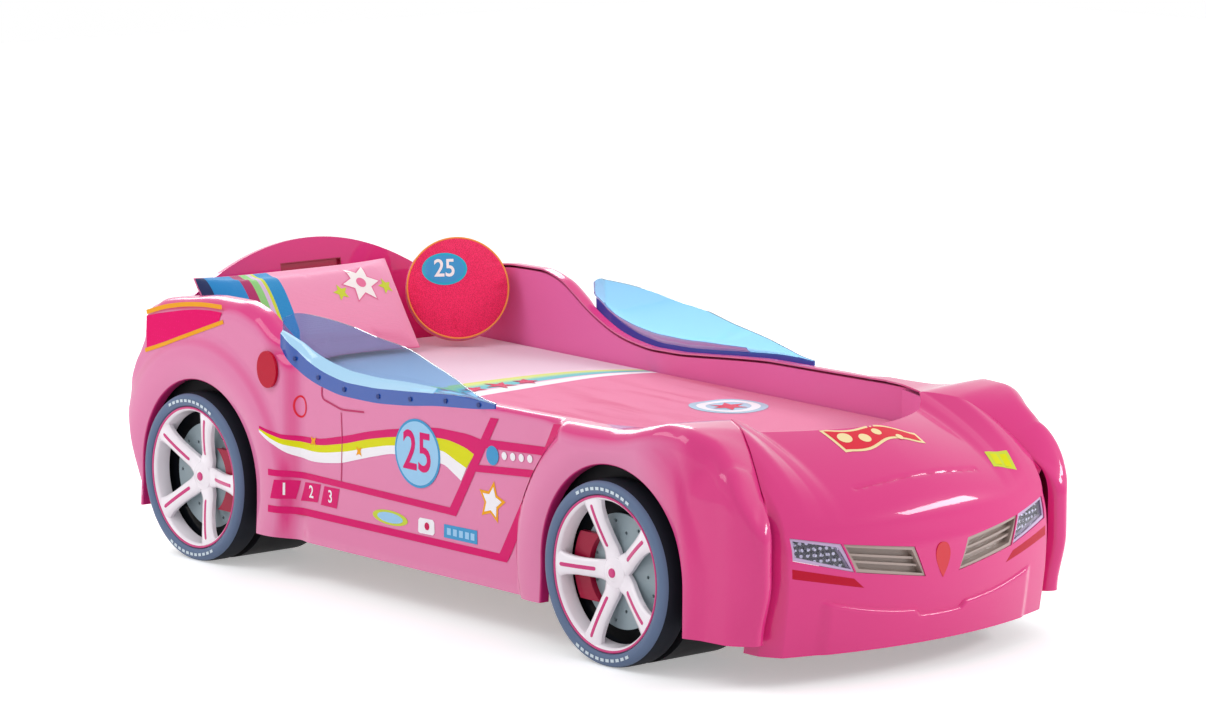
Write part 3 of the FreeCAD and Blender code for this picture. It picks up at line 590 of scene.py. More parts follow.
def seam_y(x):
    return mix(*SEAM_Y, (x - SEAM_X[0]) / (SEAM_X[1] - SEAM_X[0]))


def inner_edge(x):
    """Plan and height of a side skin's inner edge."""
    if x <= BOW_START_X:
        return WELL_HALF, curve(SHOULDER, x)
    if x <= SEAM_X[0]:
        return mix(bow_y(x), seam_y(x), fade(x, 780, SEAM_X[0])), curve(WING_INNER, x)
    return seam_y(x), curve(WING_INNER, x)


QUARTER_Y = 505.0               # outer face behind the door
DOOR_Y = 480.0
DOOR_START_X = -512.0           # the step from the quarter to the door, lower down
DOOR_STEP_HALF = 34.0
DOOR_LEAN = 60.0                # the step runs further back near the shoulder
SILL_OUT = 14.0                 # the door turns out again towards the sill
WING_Y = 508.0
WING_X = (880.0, 925.0)         # the wing's own plan takes over here
WING_LEAN = 16.0
FLARE_ROLL = 6.0
FLARE_CROWN = 90.0              # width of the flare's rounded crown


def half_width(x, z):
    """Outer face of a side skin."""
    turn = DOOR_START_X - DOOR_LEAN * fade(z, 500, 560)
    body = mix(QUARTER_Y, DOOR_Y, fade(x, turn - DOOR_STEP_HALF, turn + DOOR_STEP_HALF))
    body += SILL_OUT * (1 - fade(z, 100, 190)) * fade(x, -520, -440)
    body = mix(body, WING_Y, fade(x, 400, 620))
    ahead = fade(x, *WING_X)
    if ahead:
        body = curve(WING_PLAN, x) - WING_LEAN * fade(z, 400, 470) * fade(x, 900, 960)
    low, high = (mix(a, b, ahead) for a, b in zip(FLARE_R, FRONT_FLARE_R))
    for axle in AXLES.values():
        radius = math.hypot(x - axle, z - AXLE_Z)
        crown = FLARE_ROLL * math.sin(math.pi * min(1.0, max(0.0, (radius - ARCH_R) / FLARE_CROWN)))
        body = mix(FLARE_Y - FLARE_ROLL + mix(crown, 4, ahead), body, fade(radius, low, high))
    return body


TOP_STEPS = 8
ROLL_STEPS = 10
FACE_STEPS = 56
SHOULDER_DROP = (46, 18)        # height of the rolled shoulder, away from the door and along it
SHOULDER_ROLL = (42, 15)        # its width
TOP_Z = 620                     # height at which a rib of the tail starts


def side_rib(x_of, inset):
    """One rib of a side skin, from its inner edge over the shoulder down to the sill."""
    top_x = x_of(TOP_Z)
    y_in, z_in = inner_edge(top_x)
    z_top = curve(SHOULDER, top_x)
    door = fade(top_x, -600, -520) * (1 - fade(top_x, 380, 560))
    drop = mix(*SHOULDER_DROP, door)
    width = half_width(top_x, z_top - drop) - inset
    roll = min(mix(*SHOULDER_ROLL, door), width - y_in - 3)
    y_top = width - roll
    rib = []
    for k in range(TOP_STEPS):
        t = k / TOP_STEPS
        rib.append((top_x, -mix(y_in, y_top, t), mix(z_in, z_top, t * (1.48 - 0.48 * t))))
    for k in range(ROLL_STEPS):
        angle = math.pi / 2 * k / ROLL_STEPS
        rib.append((top_x, -(y_top + roll * math.sin(angle)), z_top - drop * (1 - math.cos(angle))))
    for k in range(FACE_STEPS + 1):
        z = mix(z_top - drop, SILL_Z, k / FACE_STEPS)
        x = mix(top_x, x_of(z), min(1.0, k / 3))
        rib.append((x, -(half_width(x, z) - inset), z))
    return rib


def wing_corner(share):
    """Plan of a wing's front corner; share runs from the last plain rib to the seam's end."""
    place = share * (len(WING_CORNER) - 1)
    return tuple(curve([(k, p[a]) for k, p in enumerate(WING_CORNER)], place) for a in (0, 1))


def cubic(poles, t):
    weights = ((1 - t) ** 3, 3 * t * (1 - t) ** 2, 3 * t * t * (1 - t), t ** 3)
    return tuple(sum(w * p[a] for w, p in zip(weights, poles)) for a in range(len(poles[0])))


def corner_rib(share):
    """One rib of a wing's front corner, from the seam over the crest and down the front."""
    x0 = mix(WING_TURN_X, SEAM_X[1], share)
    y0, z0 = seam_y(x0), curve(WING_INNER, x0)
    x1, y1 = wing_corner(share)
    z1 = mix(curve(SHOULDER, WING_TURN_X) - 46, 318, fade(share, 0, 0.7))
    rise = mix(28, -7, fade(share, 0, 0.6))
    lift = mix(50, 40, fade(share, 0, 0.7))
    ahead = (mix(x0, x1, 0.3), mix(y0, y1, 0.3), z0 + rise)
    poles = [(x0, y0, z0), ahead, (x1, y1, z1 + lift), (x1, y1, z1)]
    rib = []
    for k in range(TOP_STEPS + ROLL_STEPS):
        x, y, z = cubic(poles, k / (TOP_STEPS + ROLL_STEPS))
        rib.append((x, -y, z))
    for k in range(FACE_STEPS + 1):
        z = mix(z1, SILL_Z, k / FACE_STEPS)
        tuck = WING_TUCK * (1 - fade(z, 100, 235)) * fade(share, 0, 0.5)
        rib.append((x1 - tuck, -y1, z))
    return rib


PLAIN_START_X = -940.0          # the ribs follow the tail's outline behind this place
RIB_STEP = 9.0
CORNER_RIBS = 9
TAIL_RIBS = 18
WING_RIBS = 30


def side_ribs():
    """Ribs of a side skin from the tail's rounded edge to the wing's front corner."""
    ribs = []
    for k in range(CORNER_RIBS + 1):
        angle = mix(math.radians(4), math.pi / 2, k / CORNER_RIBS)
        back = CORNER_R * (1 - math.cos(angle))
        inset = CORNER_R * (1 - math.sin(angle))
        ribs.append(side_rib(lambda z, back=back: curve(TAIL, z) + back, inset))
    for k in range(1, TAIL_RIBS):
        share = k / TAIL_RIBS
        ribs.append(side_rib(lambda z, t=share: mix(curve(TAIL, z) + CORNER_R, PLAIN_START_X, t), 0))
    count = int((WING_TURN_X - PLAIN_START_X) / RIB_STEP)
    for k in range(count + 1):
        x = mix(PLAIN_START_X, WING_TURN_X, k / count)
        ribs.append(side_rib(lambda z, x=x: x, 0))
    last, first = ribs[-1], corner_rib(0)
    for k in range(1, WING_RIBS + 1):
        share = k / WING_RIBS
        kept = 1 - fade(share, 0, 0.35)
        rib = []
        for point, a, b in zip(corner_rib(share), last, first):
            rib.append(tuple(p + (q - r) * kept for p, q, r in zip(point, a, b)))
        ribs.append(rib)
    return ribs


def arch_depth(x, z):
    """How far a point is inside a wheel arch, and the arch point nearest to it."""
    for axle in AXLES.values():
        dx, dz = x - axle, z - AXLE_Z
        if dz >= 0:
            radius = math.hypot(dx, dz)
            if radius < ARCH_R:
                scale = ARCH_R / max(radius, 1.0)
                return ARCH_R - radius, (axle + dx * scale, AXLE_Z + dz * scale)
        elif abs(dx) < ARCH_R:
            return ARCH_R - abs(dx), (axle + math.copysign(ARCH_R, dx), z)
    return 0.0, None


def drop_loose(shape):
    loose = [v for v in shape.verts if not v.link_faces]
    bmesh.ops.delete(shape, geom=loose, context="VERTS")


def side_skin(side):
    """Skin of one side, its grid cut out at the wheel arches and snapped to their rims."""
    ribs = side_ribs()
    rows, cols = len(ribs), len(ribs[0])
    hidden = {}
    for i in range(rows):
        for j in range(TOP_STEPS + ROLL_STEPS, cols):
            depth, edge = arch_depth(ribs[i][j][0], ribs[i][j][2])
            if depth > 0:
                hidden[i, j] = edge
    snapped = set()
    for (i, j), (x, z) in hidden.items():
        beside = [(i + a, j + b) for a in (-1, 0, 1) for b in (-1, 0, 1)]
        if any(n not in hidden and 0 <= n[0] < rows and 0 <= n[1] < cols for n in beside):
            ribs[i][j] = (x, -half_width(x, z), z)
            snapped.add((i, j))
    points = [point for rib in ribs for point in rib]
    faces = []
    for i in range(rows - 1):
        for j in range(cols - 1):
            corners = [(i, j), (i, j + 1), (i + 1, j + 1), (i + 1, j)]
            all_gone = all(c in hidden for c in corners)
            if not all_gone and all(c not in hidden or c in snapped for c in corners):
                faces.append(tuple(a * cols + b for a, b in corners))
    skin = piece("body_side", points, faces, body_pink, side, slot="body_pink",
                 nodes=(f"side_panel_{side}",))
    reshape(skin.data, drop_loose)
    thicken(skin)


# how far inwards, how far back from the face
LIP_SECTION = [(-3, 0.5), (0, 0.3), (2.4, 1.0), (4, 3.2), (4.6, 7), (4.6, 26)]
LIP_PITCH = 12.0                # along the upright ends of the lip
LIP_ARC_STEPS = 60


def arch_lip(place, side):
    """Rolled edge that turns inwards round a wheel arch."""
    axle = AXLES[place]
    heights = [SILL_Z + k * LIP_PITCH for k in range(9)]
    angles = [math.pi * k / LIP_ARC_STEPS for k in range(LIP_ARC_STEPS + 1)]
    route = [(axle - ARCH_R, z) for z in heights]
    route += [(axle - ARCH_R * math.cos(angle), AXLE_Z + ARCH_R * math.sin(angle)) for angle in angles]
    route += [(axle + ARCH_R, z) for z in reversed(heights)]
    grid = []
    for x, z in route:
        face = half_width(x, z)
        dx, dz = (axle - x) / ARCH_R, min(0.0, (AXLE_Z - z) / ARCH_R)
        line = []
        for inwards, back in LIP_SECTION:
            line.append((x + dx * inwards, -(face + 0.3 - back), z + dz * inwards))
        grid.append(line)
    grid_piece(f"arch_lip_{place}", grid, body_pink, side=side, sharp=60, slot="body_pink")


def nose_x(y, z):
    """Outer face of the bumper below its turn into the bonnet."""
    turn = max(0.0, abs(y) - BUMPER_CORNER_Y) / (SEAM_Y[1] - BUMPER_CORNER_Y)
    soft = turn - 0.1 * (1 - math.exp(-turn * 10))
    return NOSE_X - NOSE_BOW * y * y - BUMPER_SIDE * soft * 1.1 + curve(BUMPER_FACE, z)


LIP_OUT = 7.0                   # the bumper stands out below its step
LIP_Z = 140.0
LIP_BOW = 0.00045
LIP_DROP = 13.0
LIP_DIP = (60.0, 78.0)          # the step rises from its dip between these half widths
LIP_END_Y = 318.0
LIP_SOFT = 4.5
BONNET_STEPS = 60
FACE_ABOVE = 46                 # rows of the bumper's face above its step
FACE_STEP = 6
FACE_BELOW = 16
GROOVE_X = 1096.0               # groove across the bonnet: its place on the middle line
GROOVE_HALF = 190.0
GROOVE_DEEP = 4.5
GROOVE_BOW = 0.0003
SEAM_BLEND = (262.0, 236.0)     # half widths where the bonnet starts to follow the seam: plan, height


def lip_line(y):
    """Height of the step across the bumper, lower in the middle."""
    return LIP_Z + LIP_BOW * y * y - LIP_DROP * (1 - fade(abs(y), *LIP_DIP))


def groove(x, y):
    """Depth of the bonnet's groove at a place."""
    along = 1 - fade(abs(y), GROOVE_HALF - 12, GROOVE_HALF)
    off = abs(x - (GROOVE_X - GROOVE_BOW * y * y))
    return GROOVE_DEEP * along * (1 - fade(off, 0.5, 5.5))


def nose_rib(y):
    """One rib of the front moulding, from the well or the seam down to the bumper's lower edge."""
    reach = abs(y)
    if reach < SEAM_Y[0]:
        share = (reach / WELL_HALF) ** BOW_POWER
        x0 = BOW_START_X + BOW_DEPTH * (1 - share) ** (1 / BOW_POWER)
        x0 = mix(x0, SEAM_X[0], fade(reach, SEAM_BLEND[0], SEAM_Y[0]))
        z0 = mix(RIM_Z, curve(WING_INNER, SEAM_X[0]) - SEAM_GAP, fade(reach, SEAM_BLEND[1], SEAM_Y[0]))
    else:
        x0 = mix(*SEAM_X, (reach - SEAM_Y[0]) / (SEAM_Y[1] - SEAM_Y[0]))
        z0 = curve(WING_INNER, x0) - SEAM_GAP
    y -= math.copysign(SEAM_GAP * fade(reach, SEAM_BLEND[1], SEAM_Y[0]), y)
    x1 = nose_x(y, NOSE_TURN_Z)
    run, fall = x1 - x0, z0 - NOSE_TURN_Z
    poles = [(x0, z0), (x0 + 0.42 * run, z0 - 0.20 * fall),
             (x1 - 0.056 * run, NOSE_TURN_Z + 0.39 * fall), (x1, NOSE_TURN_Z)]
    points = []
    for k in range(BONNET_STEPS):
        x, z = cubic(poles, k / BONNET_STEPS)
        points.append((x, z - groove(x, y)))
    lip = lip_line(y)
    heights = [mix(NOSE_TURN_Z, lip + LIP_SOFT, k / FACE_ABOVE) for k in range(FACE_ABOVE)]
    heights += [mix(lip + LIP_SOFT, lip - LIP_SOFT, k / FACE_STEP) for k in range(FACE_STEP)]
    heights += [mix(lip - LIP_SOFT, BUMPER_BOTTOM, k / FACE_BELOW) for k in range(FACE_BELOW + 1)]
    for z in heights:
        out = LIP_OUT * (1 - fade(z, lip - LIP_SOFT, lip + LIP_SOFT)) * fade(LIP_END_Y - reach, 0, 26)
        points.append((nose_x(y, z) + out, z))
    return [(x, y, z) for x, z in points]


BUMPER_RETURN = [(3, 0.2), (10, 0.5), (24, 1.0), (44, 1.0)]
LAMP = [(-380, 327), (-266, 306), (-238, 243), (-380, 279)]
GRILLE = [(-262, 305), (-80, 282), (-50, 214), (-234, 242)]


def prism(outline, sign):
    """Closed prism along X through the bumper; sign mirrors its outline of (y, z) points."""
    points = [(x, y * sign, z) for x in (1400, 950) for y, z in outline]
    faces = [(0, 1, 2, 3), (7, 6, 5, 4)] + [(k, (k + 1) % 4, (k + 1) % 4 + 4, k + 4) for k in range(4)]
    return points, faces


def nose_skin():
    """Bonnet and bumper in one, with openings for the lamps and the grilles."""
    ribs = []
    edge = SEAM_Y[1]
    across = [4.75 * k for k in range(81)] + [382 + 1.6 * k for k in range(21)]     # closer at the corner
    across = [y for y in across if y < edge] + [edge]
    for back, out in reversed(BUMPER_RETURN):
        ribs.append([(x - back, y - out, z) for x, y, z in nose_rib(-edge)])
    for y in [-y for y in reversed(across[1:])] + across:
        ribs.append(nose_rib(y))
    for back, out in BUMPER_RETURN:
        ribs.append([(x - back, y + out, z) for x, y, z in nose_rib(edge)])
    skin = grid_piece("front_shell", ribs, body_pink, flip=True, slot="body_pink",
                      nodes=("front_moulding",))
    thicken(skin)
    for outline in (LAMP, GRILLE):
        for sign in (1, -1):
            cut(skin, *prism(outline, sign))
    return skin


# ---- wheels ------------------------------------------------------------------------------------
MARKS = [middle + 5.2 * k for middle in (90, 270) for k in range(-5, 6)]    # degrees round the tyre
MARK_HALF = 1.7
MARK_R = (RIM_R + 11, RIM_R + 18)


def tyre(place, side):
    """Tyre, flat where it stands on the floor, with short marks printed on its wall."""
    axle = AXLES[place]
    profile = rounded([(RIM_R - 12, TYRE_BACK_Y), (TYRE_R, TYRE_BACK_Y), (TYRE_R, TYRE_FACE_Y - 22),
                       (TYRE_R - 4, TYRE_FACE_Y - 6), (TYRE_R - 15, TYRE_FACE_Y),
                       (RIM_R + 7, TYRE_FACE_Y - 1), (RIM_R, TYRE_FACE_Y - 6),
                       (RIM_R, TYRE_FACE_Y - 40)], 9)
    grid = lathe(profile, axle, count=160, floor=0.0)
    body = grid_piece(f"tyre_{place}", grid, tyre_black, close_rows=True, side=side, slot="tyre_black",
                      nodes=(f"{place}_tyre_{side}",), sharp=50)

    def tread(face):
        x, y, z = face.center / MM
        return int(abs(y) < TYRE_FACE_Y - 14 and math.hypot(x - axle, z - AXLE_Z) > RIM_R + 2)

    paint(body, [tyre_dark], tread)
    bars = []
    for angle in MARKS:
        corners = []
        for turn in (-MARK_HALF, 0, MARK_HALF):
            a = math.radians(angle + turn)
            corners += [(axle + r * math.cos(a), -(TYRE_FACE_Y + 0.5), max(1.0, AXLE_Z + r * math.sin(a)))
                        for r in MARK_R]
        bars.append((corners, [(0, 1, 3, 2), (2, 3, 5, 4)]))
    piece(f"tyre_marks_{place}", *joined(bars), tyre_print, side, slot="tyre_black")


SPOKES = 5
SPOKE_WIDTHS = [(24, 26), (60, 21), (105, 20), (140, 23), (163, 30)]     # radius, half width
SPOKE_FACE = [(24, 502), (48, 502.5), (72, 509), (110, 519), (150, 526), (166, 527)]
SPOKE_ACROSS = [-1, -0.95, -0.85, -0.5, 0, 0.5, 0.85, 0.95, 1]
SPOKE_RUN = (20, 166)           # radii where a spoke begins and ends
SPOKE_DEEP = 13
SPOKE_STEPS = 26
LINE_RUN = (58, 154)            # radii where the coloured line of a spoke begins and ends
LINE_HALF = 4.4
LINE_LIFT = 0.7
LINE_ACROSS = (-1, -0.6, 0, 0.6, 1)
LINE_STEPS = 30
POINTING = {"rear": 0.0, "front": 180.0}


def spoke_point(radius, across, deep):
    """Point of a spoke along +X: across from -1 to 1 over its width, deep below its face."""
    half = curve(SPOKE_WIDTHS, radius)
    crown = 3.0 * (1 - across * across)
    edge = 5.0 * max(0.0, abs(across) - 0.8) / 0.2
    return radius, -(curve(SPOKE_FACE, radius) + crown - edge - deep), half * across


def spoke():
    """One spoke along +X, and the coloured line on it."""
    points = []
    for i in range(SPOKE_STEPS + 1):
        r = mix(*SPOKE_RUN, i / SPOKE_STEPS)
        points += [spoke_point(r, a, 0) for a in SPOKE_ACROSS]
        points += [spoke_point(r, a * 0.94, SPOKE_DEEP) for a in reversed(SPOKE_ACROSS)]
    inlay = []
    low, high = LINE_RUN
    for i in range(LINE_STEPS + 1):
        r = mix(low, high, i / LINE_STEPS)
        width = LINE_HALF * math.sqrt(max(0.0, min(1.0, (r - low + 1) / 4, (high + 1 - r) / 4)))
        for a in LINE_ACROSS:
            x, y, z = spoke_point(r, a * width / curve(SPOKE_WIDTHS, r), 0)
            inlay.append((x, y - (LINE_LIFT if abs(a) < 1 else 0.05), z))
    faces = ring_faces(SPOKE_STEPS + 1, 2 * len(SPOKE_ACROSS))
    return (points, faces), (inlay, grid_faces(LINE_STEPS + 1, len(LINE_ACROSS)))


def rim(place, side):
    """Dished rim: one barrel, five spokes with a coloured line along each, and a hub cap."""
    axle = AXLES[place]
    barrel = rounded([(RIM_R - 0.5, 508), (RIM_R - 0.5, RIM_FACE_Y), (RIM_R - 7, RIM_FACE_Y + 0.5),
                      (RIM_R - 12, RIM_FACE_Y - 6), (RIM_R - 16, 489), (RIM_R - 3, 489)], 3)
    grid = lathe(barrel, axle, 128)
    solid = [([p for line in grid for p in line], grid_faces(len(grid), len(grid[0]), close_rows=True))]
    lines = []
    for k in range(SPOKES):
        turn = math.radians(POINTING[place] + 360 / SPOKES * k)
        for (points, faces), group in zip(spoke(), (solid, lines)):
            turned = [(axle + x * math.cos(turn) - z * math.sin(turn), y,
                       AXLE_Z + x * math.sin(turn) + z * math.cos(turn)) for x, y, z in points]
            group.append((turned, faces))
    piece(f"rim_{place}", *joined(solid), rim_white, side, slot="rim_white",
          nodes=(f"{place}_rim_{side}",), sharp=40)
    piece(f"spoke_lines_{place}", *joined(lines), rim_pink, side, slot="body_pink")
    ring = [(RIM_R - 0.6, RIM_FACE_Y + 0.2), (RIM_R - 1.6, RIM_FACE_Y + 2.2),
            (RIM_R - 5.4, RIM_FACE_Y + 2.2), (RIM_R - 6.4, RIM_FACE_Y + 0.2)]
    cap = [(36, 498), (34, 505), (20, 508), (17, 509.5), (0.1, 510.5)]
    button = [(11, 508.5), (10, 512.5), (5, 513.5), (0.1, 513.8)]
    for name, profile, radius, count, material, slot in (
            ("rim_line", ring, 1, 128, rim_pink, "body_pink"),
            ("hub_cap", cap, 2, 48, rim_white, "rim_white"),
            ("hub_button", button, 1, 32, rim_pink, "body_pink")):
        grid_piece(f"{name}_{place}", lathe(rounded(profile, radius), axle, count), material,
                   close_rows=True, side=side, slot=slot)


# ---- windows --------------------------------------------------------------------------------------
LEDGE_HIGHLIGHT_END = 20.0                # the painted highlight along the flange's bend ends here
WINDOW_ENDS = (-556, 246)
WINDOW_RIBS = 160
WINDOW_LEAN = 24
FLANGE_SHARES = (0.0, 0.05, 0.2, 0.4, 0.6, 0.8, 0.95)
PANE_SHARES = (0.02, 0.05, 0.09, 0.13, 0.18, 0.24, 0.35, 0.5, 0.65, 0.8, 0.95, 1.0)
BEND_SHARE = 0.24               # the pane has turned inwards up to here
FLANGE_ROWS = 6
LEDGE_ROWS = 5


def window_face(x, z):
    """Outer face of a window's flange, which follows the body."""
    return max(482.0, half_width(x, z)) + 7.0


def window(side):
    """Clear pane with its screwed flange, and a painted highlight on the bend between them."""
    grid = []
    for k in range(WINDOW_RIBS + 1):
        x = mix(*WINDOW_ENDS, k / WINDOW_RIBS)
        low, bend, top = (curve(line, x) for line in (WINDOW_LOW, WINDOW_BEND, WINDOW_TOP))
        bend = min(bend, top - 1.5)
        face_y = window_face(x, low)
        line = []
        for share in FLANGE_SHARES:
            line.append((x, -(face_y - 0.5 * share), mix(low, bend, share)))
        for share in PANE_SHARES:
            turn = 1 - (1 - min(1.0, share / BEND_SHARE)) ** 2
            lean = WINDOW_LEAN * (0.8 * turn + 0.2 * share) * fade(top - bend, 0, 90)
            line.append((x, -(face_y - 1.5 - lean), mix(bend, top, share)))
        grid.append(line)
    pane = grid_piece("window", grid, window_blue, flip=True, side=side, slot="window_blue",
                      nodes=(f"side_window_{side}",), sharp=70)

    # flange rows get the deep blue; the first bend rows towards the rear get the pale painted highlight
    def part_of(face):
        row = face.index % (len(grid[0]) - 1)
        if row < FLANGE_ROWS:
            return 1
        return 2 if row < FLANGE_ROWS + LEDGE_ROWS and face.center.x < LEDGE_HIGHLIGHT_END * MM else 0

    paint(pane, [window_flange, ledge_highlight], part_of)
    thicken(pane, sharp=40)
    pane.visible_shadow = False
    pane.visible_diffuse = False


def badge_back():
    """Dark plate behind the badge, a little larger all round."""
    outline = [(0, 200), (10, 212), (19, 230), (26, 250), (26, 268), (19, 282), (8, 289), (0, 290)]
    outline += [(-y, z) for y, z in reversed(outline[1:-1])]
    corners, faces = filled(outline, step=10)
    points = [(nose_x(y, z) + 1.2, y, z) for y, z in corners]
    plate = piece("badge_back", points, faces, badge_rim, slot="body_pink")
    face_towards(plate, Vector((1, 0, 0)))


# ---- printed film on the body ---------------------------------------------------------------------
FILM = 0.8                      # millimetres it stands off the body
FILM_STEP = 14.0


def face_towards(film, aim):
    """Flips a film whose front looks away from aim."""
    if film.data.polygons[0].normal.dot(aim) < 0:
        film.data.flip_normals()


def inside(outline, x, y):
    """Whether a point lies inside a closed outline."""
    crossings = False
    for (x0, y0), (x1, y1) in zip(outline, outline[1:] + outline[:1]):
        if (y0 > y) != (y1 > y) and x < mix(x0, x1, (y - y0) / (y1 - y0)):
            crossings = not crossings
    return crossings


def filled(outline, step=FILM_STEP, hole=None):
    """Flat triangle mesh of a closed outline, with points all over it."""
    edge = []
    for loop in ([outline, hole] if hole else [outline]):
        points = []
        for a, b in zip(loop, loop[1:] + loop[:1]):
            count = max(1, math.ceil(math.dist(a, b) / step))
            points += [tuple(mix(p, q, k / count) for p, q in zip(a, b)) for k in range(count)]
        edge.append(points)
    low = [min(p[a] for p in outline) for a in (0, 1)]
    high = [max(p[a] for p in outline) for a in (0, 1)]
    points = [p for loop in edge for p in loop]
    for i in range(1, int((high[0] - low[0]) / step) + 1):
        for j in range(1, int((high[1] - low[1]) / step) + 1):
            p = (low[0] + i * step, low[1] + j * step)
            if inside(outline, *p):
                points.append(p)
    rims, start = [], 0
    for loop in edge:
        rims += [(start + k, start + (k + 1) % len(loop)) for k in range(len(loop))]
        start += len(loop)
    made = delaunay_2d_cdt([Vector(p) for p in points], rims, [], 0, 1e-5)
    corners = [tuple(p) for p in made[0]]
    faces = []
    for face in made[2]:
        middle = [sum(corners[v][a] for v in face) / len(face) for a in (0, 1)]
        if inside(outline, *middle) and not (hole and inside(hole, *middle)):
            faces.append(tuple(face))
    return corners, faces


def meshed(shapes, step=FILM_STEP):
    """Flat meshes of shapes; a shape is a closed outline, or a mesh already."""
    return [shape if isinstance(shape, tuple) else filled(shape, step) for shape in shapes]


def printed(name, shapes, colour, side, lift=FILM):
    """Film on the side of the body: shapes lie in x and z."""
    corners, faces = joined(meshed(shapes))
    points = [(x, -(half_width(x, z) + lift), z) for x, z in corners]
    film = piece(f"{name}_{side}", points, faces, decal[colour], slot="body_pink")
    face_towards(film, Vector((0, -1, 0)))
    if side == "left":
        for vertex in film.data.vertices:
            vertex.co.y = -vertex.co.y
        film.data.flip_normals()


def line(points, width):
    """Closed outline of a line of the given width."""
    left, right = [], []
    for k, (x, z) in enumerate(points):
        before = points[max(k - 1, 0)]
        after = points[min(k + 1, len(points) - 1)]
        run = math.dist(before, after)
        nx, nz = -(after[1] - before[1]) / run, (after[0] - before[0]) / run
        left.append((x + nx * width / 2, z + nz * width / 2))
        right.append((x - nx * width / 2, z - nz * width / 2))
    return left + right[::-1]


def around(count):
    """Angles spread evenly round a circle."""
    return [2 * math.pi * k / count for k in range(count)]


def disc(x, z, rx, rz):
    return [(x + rx * math.cos(a), z + rz * math.sin(a)) for a in around(40)]


def star(x, z, outer, inner, points=5, turn=90):
    outline = []
    for k in range(2 * points):
        reach = outer if k % 2 == 0 else inner
        angle = math.radians(turn + 180 / points * k)
        outline.append((x + reach * math.cos(angle), z + reach * math.sin(angle)))
    return outline


def smooth_line(stations, count=60):
    x0, x1 = stations[0][0], stations[-1][0]
    return [(mix(x0, x1, k / count), curve(stations, mix(x0, x1, k / count))) for k in range(count + 1)]


DIGIT_HEIGHT = 0.72             # share of the type's size
DIGIT_BOLD = 0.02
DIGIT_WIDE = 0.86


def numeral(text, x, z, height, mirror=False):
    """Flat mesh of a plain number, its middle at x, z."""
    data = bpy.data.curves.new("numeral", "FONT")
    data.body = text
    data.size = height / DIGIT_HEIGHT
    data.align_x, data.align_y = "CENTER", "CENTER"
    data.resolution_u = 4
    data.offset = height * DIGIT_BOLD
    obj = add_object("numeral", data)
    mesh = result_of(obj)
    bpy.data.objects.remove(obj)
    wide = -DIGIT_WIDE if mirror else DIGIT_WIDE
    corners = [(x + wide * v.co.x, z + v.co.y) for v in mesh.vertices]
    faces = [tuple(p.vertices) for p in mesh.polygons]
    bpy.data.meshes.remove(mesh)
    return corners, faces


# the wave along the door, its bands from the top down: (x, height) of each edge
WAVE = [
    [(-607, 363), (-534, 349), (-445, 350), (-333, 369), (-223, 395), (-115, 415), (52, 436), (126, 436),
     (185, 430)],
    [(-607, 356), (-534, 338), (-445, 335), (-333, 351), (-223, 377), (-115, 396), (52, 413), (126, 404),
     (162, 392)],
    [(-607, 353), (-534, 325), (-445, 318), (-333, 332), (-223, 357), (-130, 374), (40, 385), (96, 369),
     (133, 357)],
    [(-607, 348), (-575, 330), (-510, 302), (-446, 294), (-350, 303), (-271, 322), (-208, 338), (-123, 354),
     (44, 355), (88, 338), (114, 325)],
]
ROUNDEL = (-45.0, 367.0)
FRAME_OUTER = [(446, 499), (478, 503), (281, 163), (-574, 160), (-573, 177), (252, 179)]
FRAME_INNER = [(221, 484), (250, 485), (95, 241), (-572, 249), (-572, 264), (73, 258)]
CROSS_BANDS = [[(196, 432), (415, 443), (404, 423), (185, 412)],
               [(155, 369), (379, 386), (368, 368), (144, 352)]]
NUMBER_BOXES = [[(-552, 240), (-491, 242), (-504, 197), (-565, 194)],
                [(-477, 240), (-416, 243), (-429, 198), (-492, 194)],
                [(-402, 241), (-343, 242), (-355, 194), (-417, 194)]]
TAIL_FIELD = [(-1090, 573), (-1040, 584), (-986, 594), (-930, 604), (-878, 611), (-820, 615), (-773, 615),
              (-786, 590), (-850, 571), (-934, 543), (-1015, 517), (-1092, 492)]
TAIL_TOP = [(-1089, 582), (-999, 606), (-905, 621), (-830, 627), (-772, 628)]
TAIL_LOW = [(-1098, 486), (-1015, 511), (-934, 538), (-850, 566), (-767, 593)]


TILE = [(-45, 186), (-39, 183), (10, 184), (16, 190), (15, 214), (9, 220), (-38, 219), (-44, 213)]
PANEL = [(50, 186), (172, 187), (171, 219), (51, 217)]
PANEL_BARS = [[(x, 194), (x + 14, 194), (x + 14, 210), (x, 210)] for x in (62, 84, 106, 128, 148)]
DOTS = [disc(x, 403 + 0.06 * (x - 260), 9, 9) for x in (270, 300, 330, 360)]
SMALL_MARKS = [star(x, z, 15, 6, 4, 45) for x, z in ((-443, 343), (-266, 342))]
DOOR_HANDLE = rounded([(-408, 476), (-409, 449), (-332, 432), (-246, 437)], 14)
DOOR_SEAM = [(-334, 425), (-331, 358), (-336, 262)]


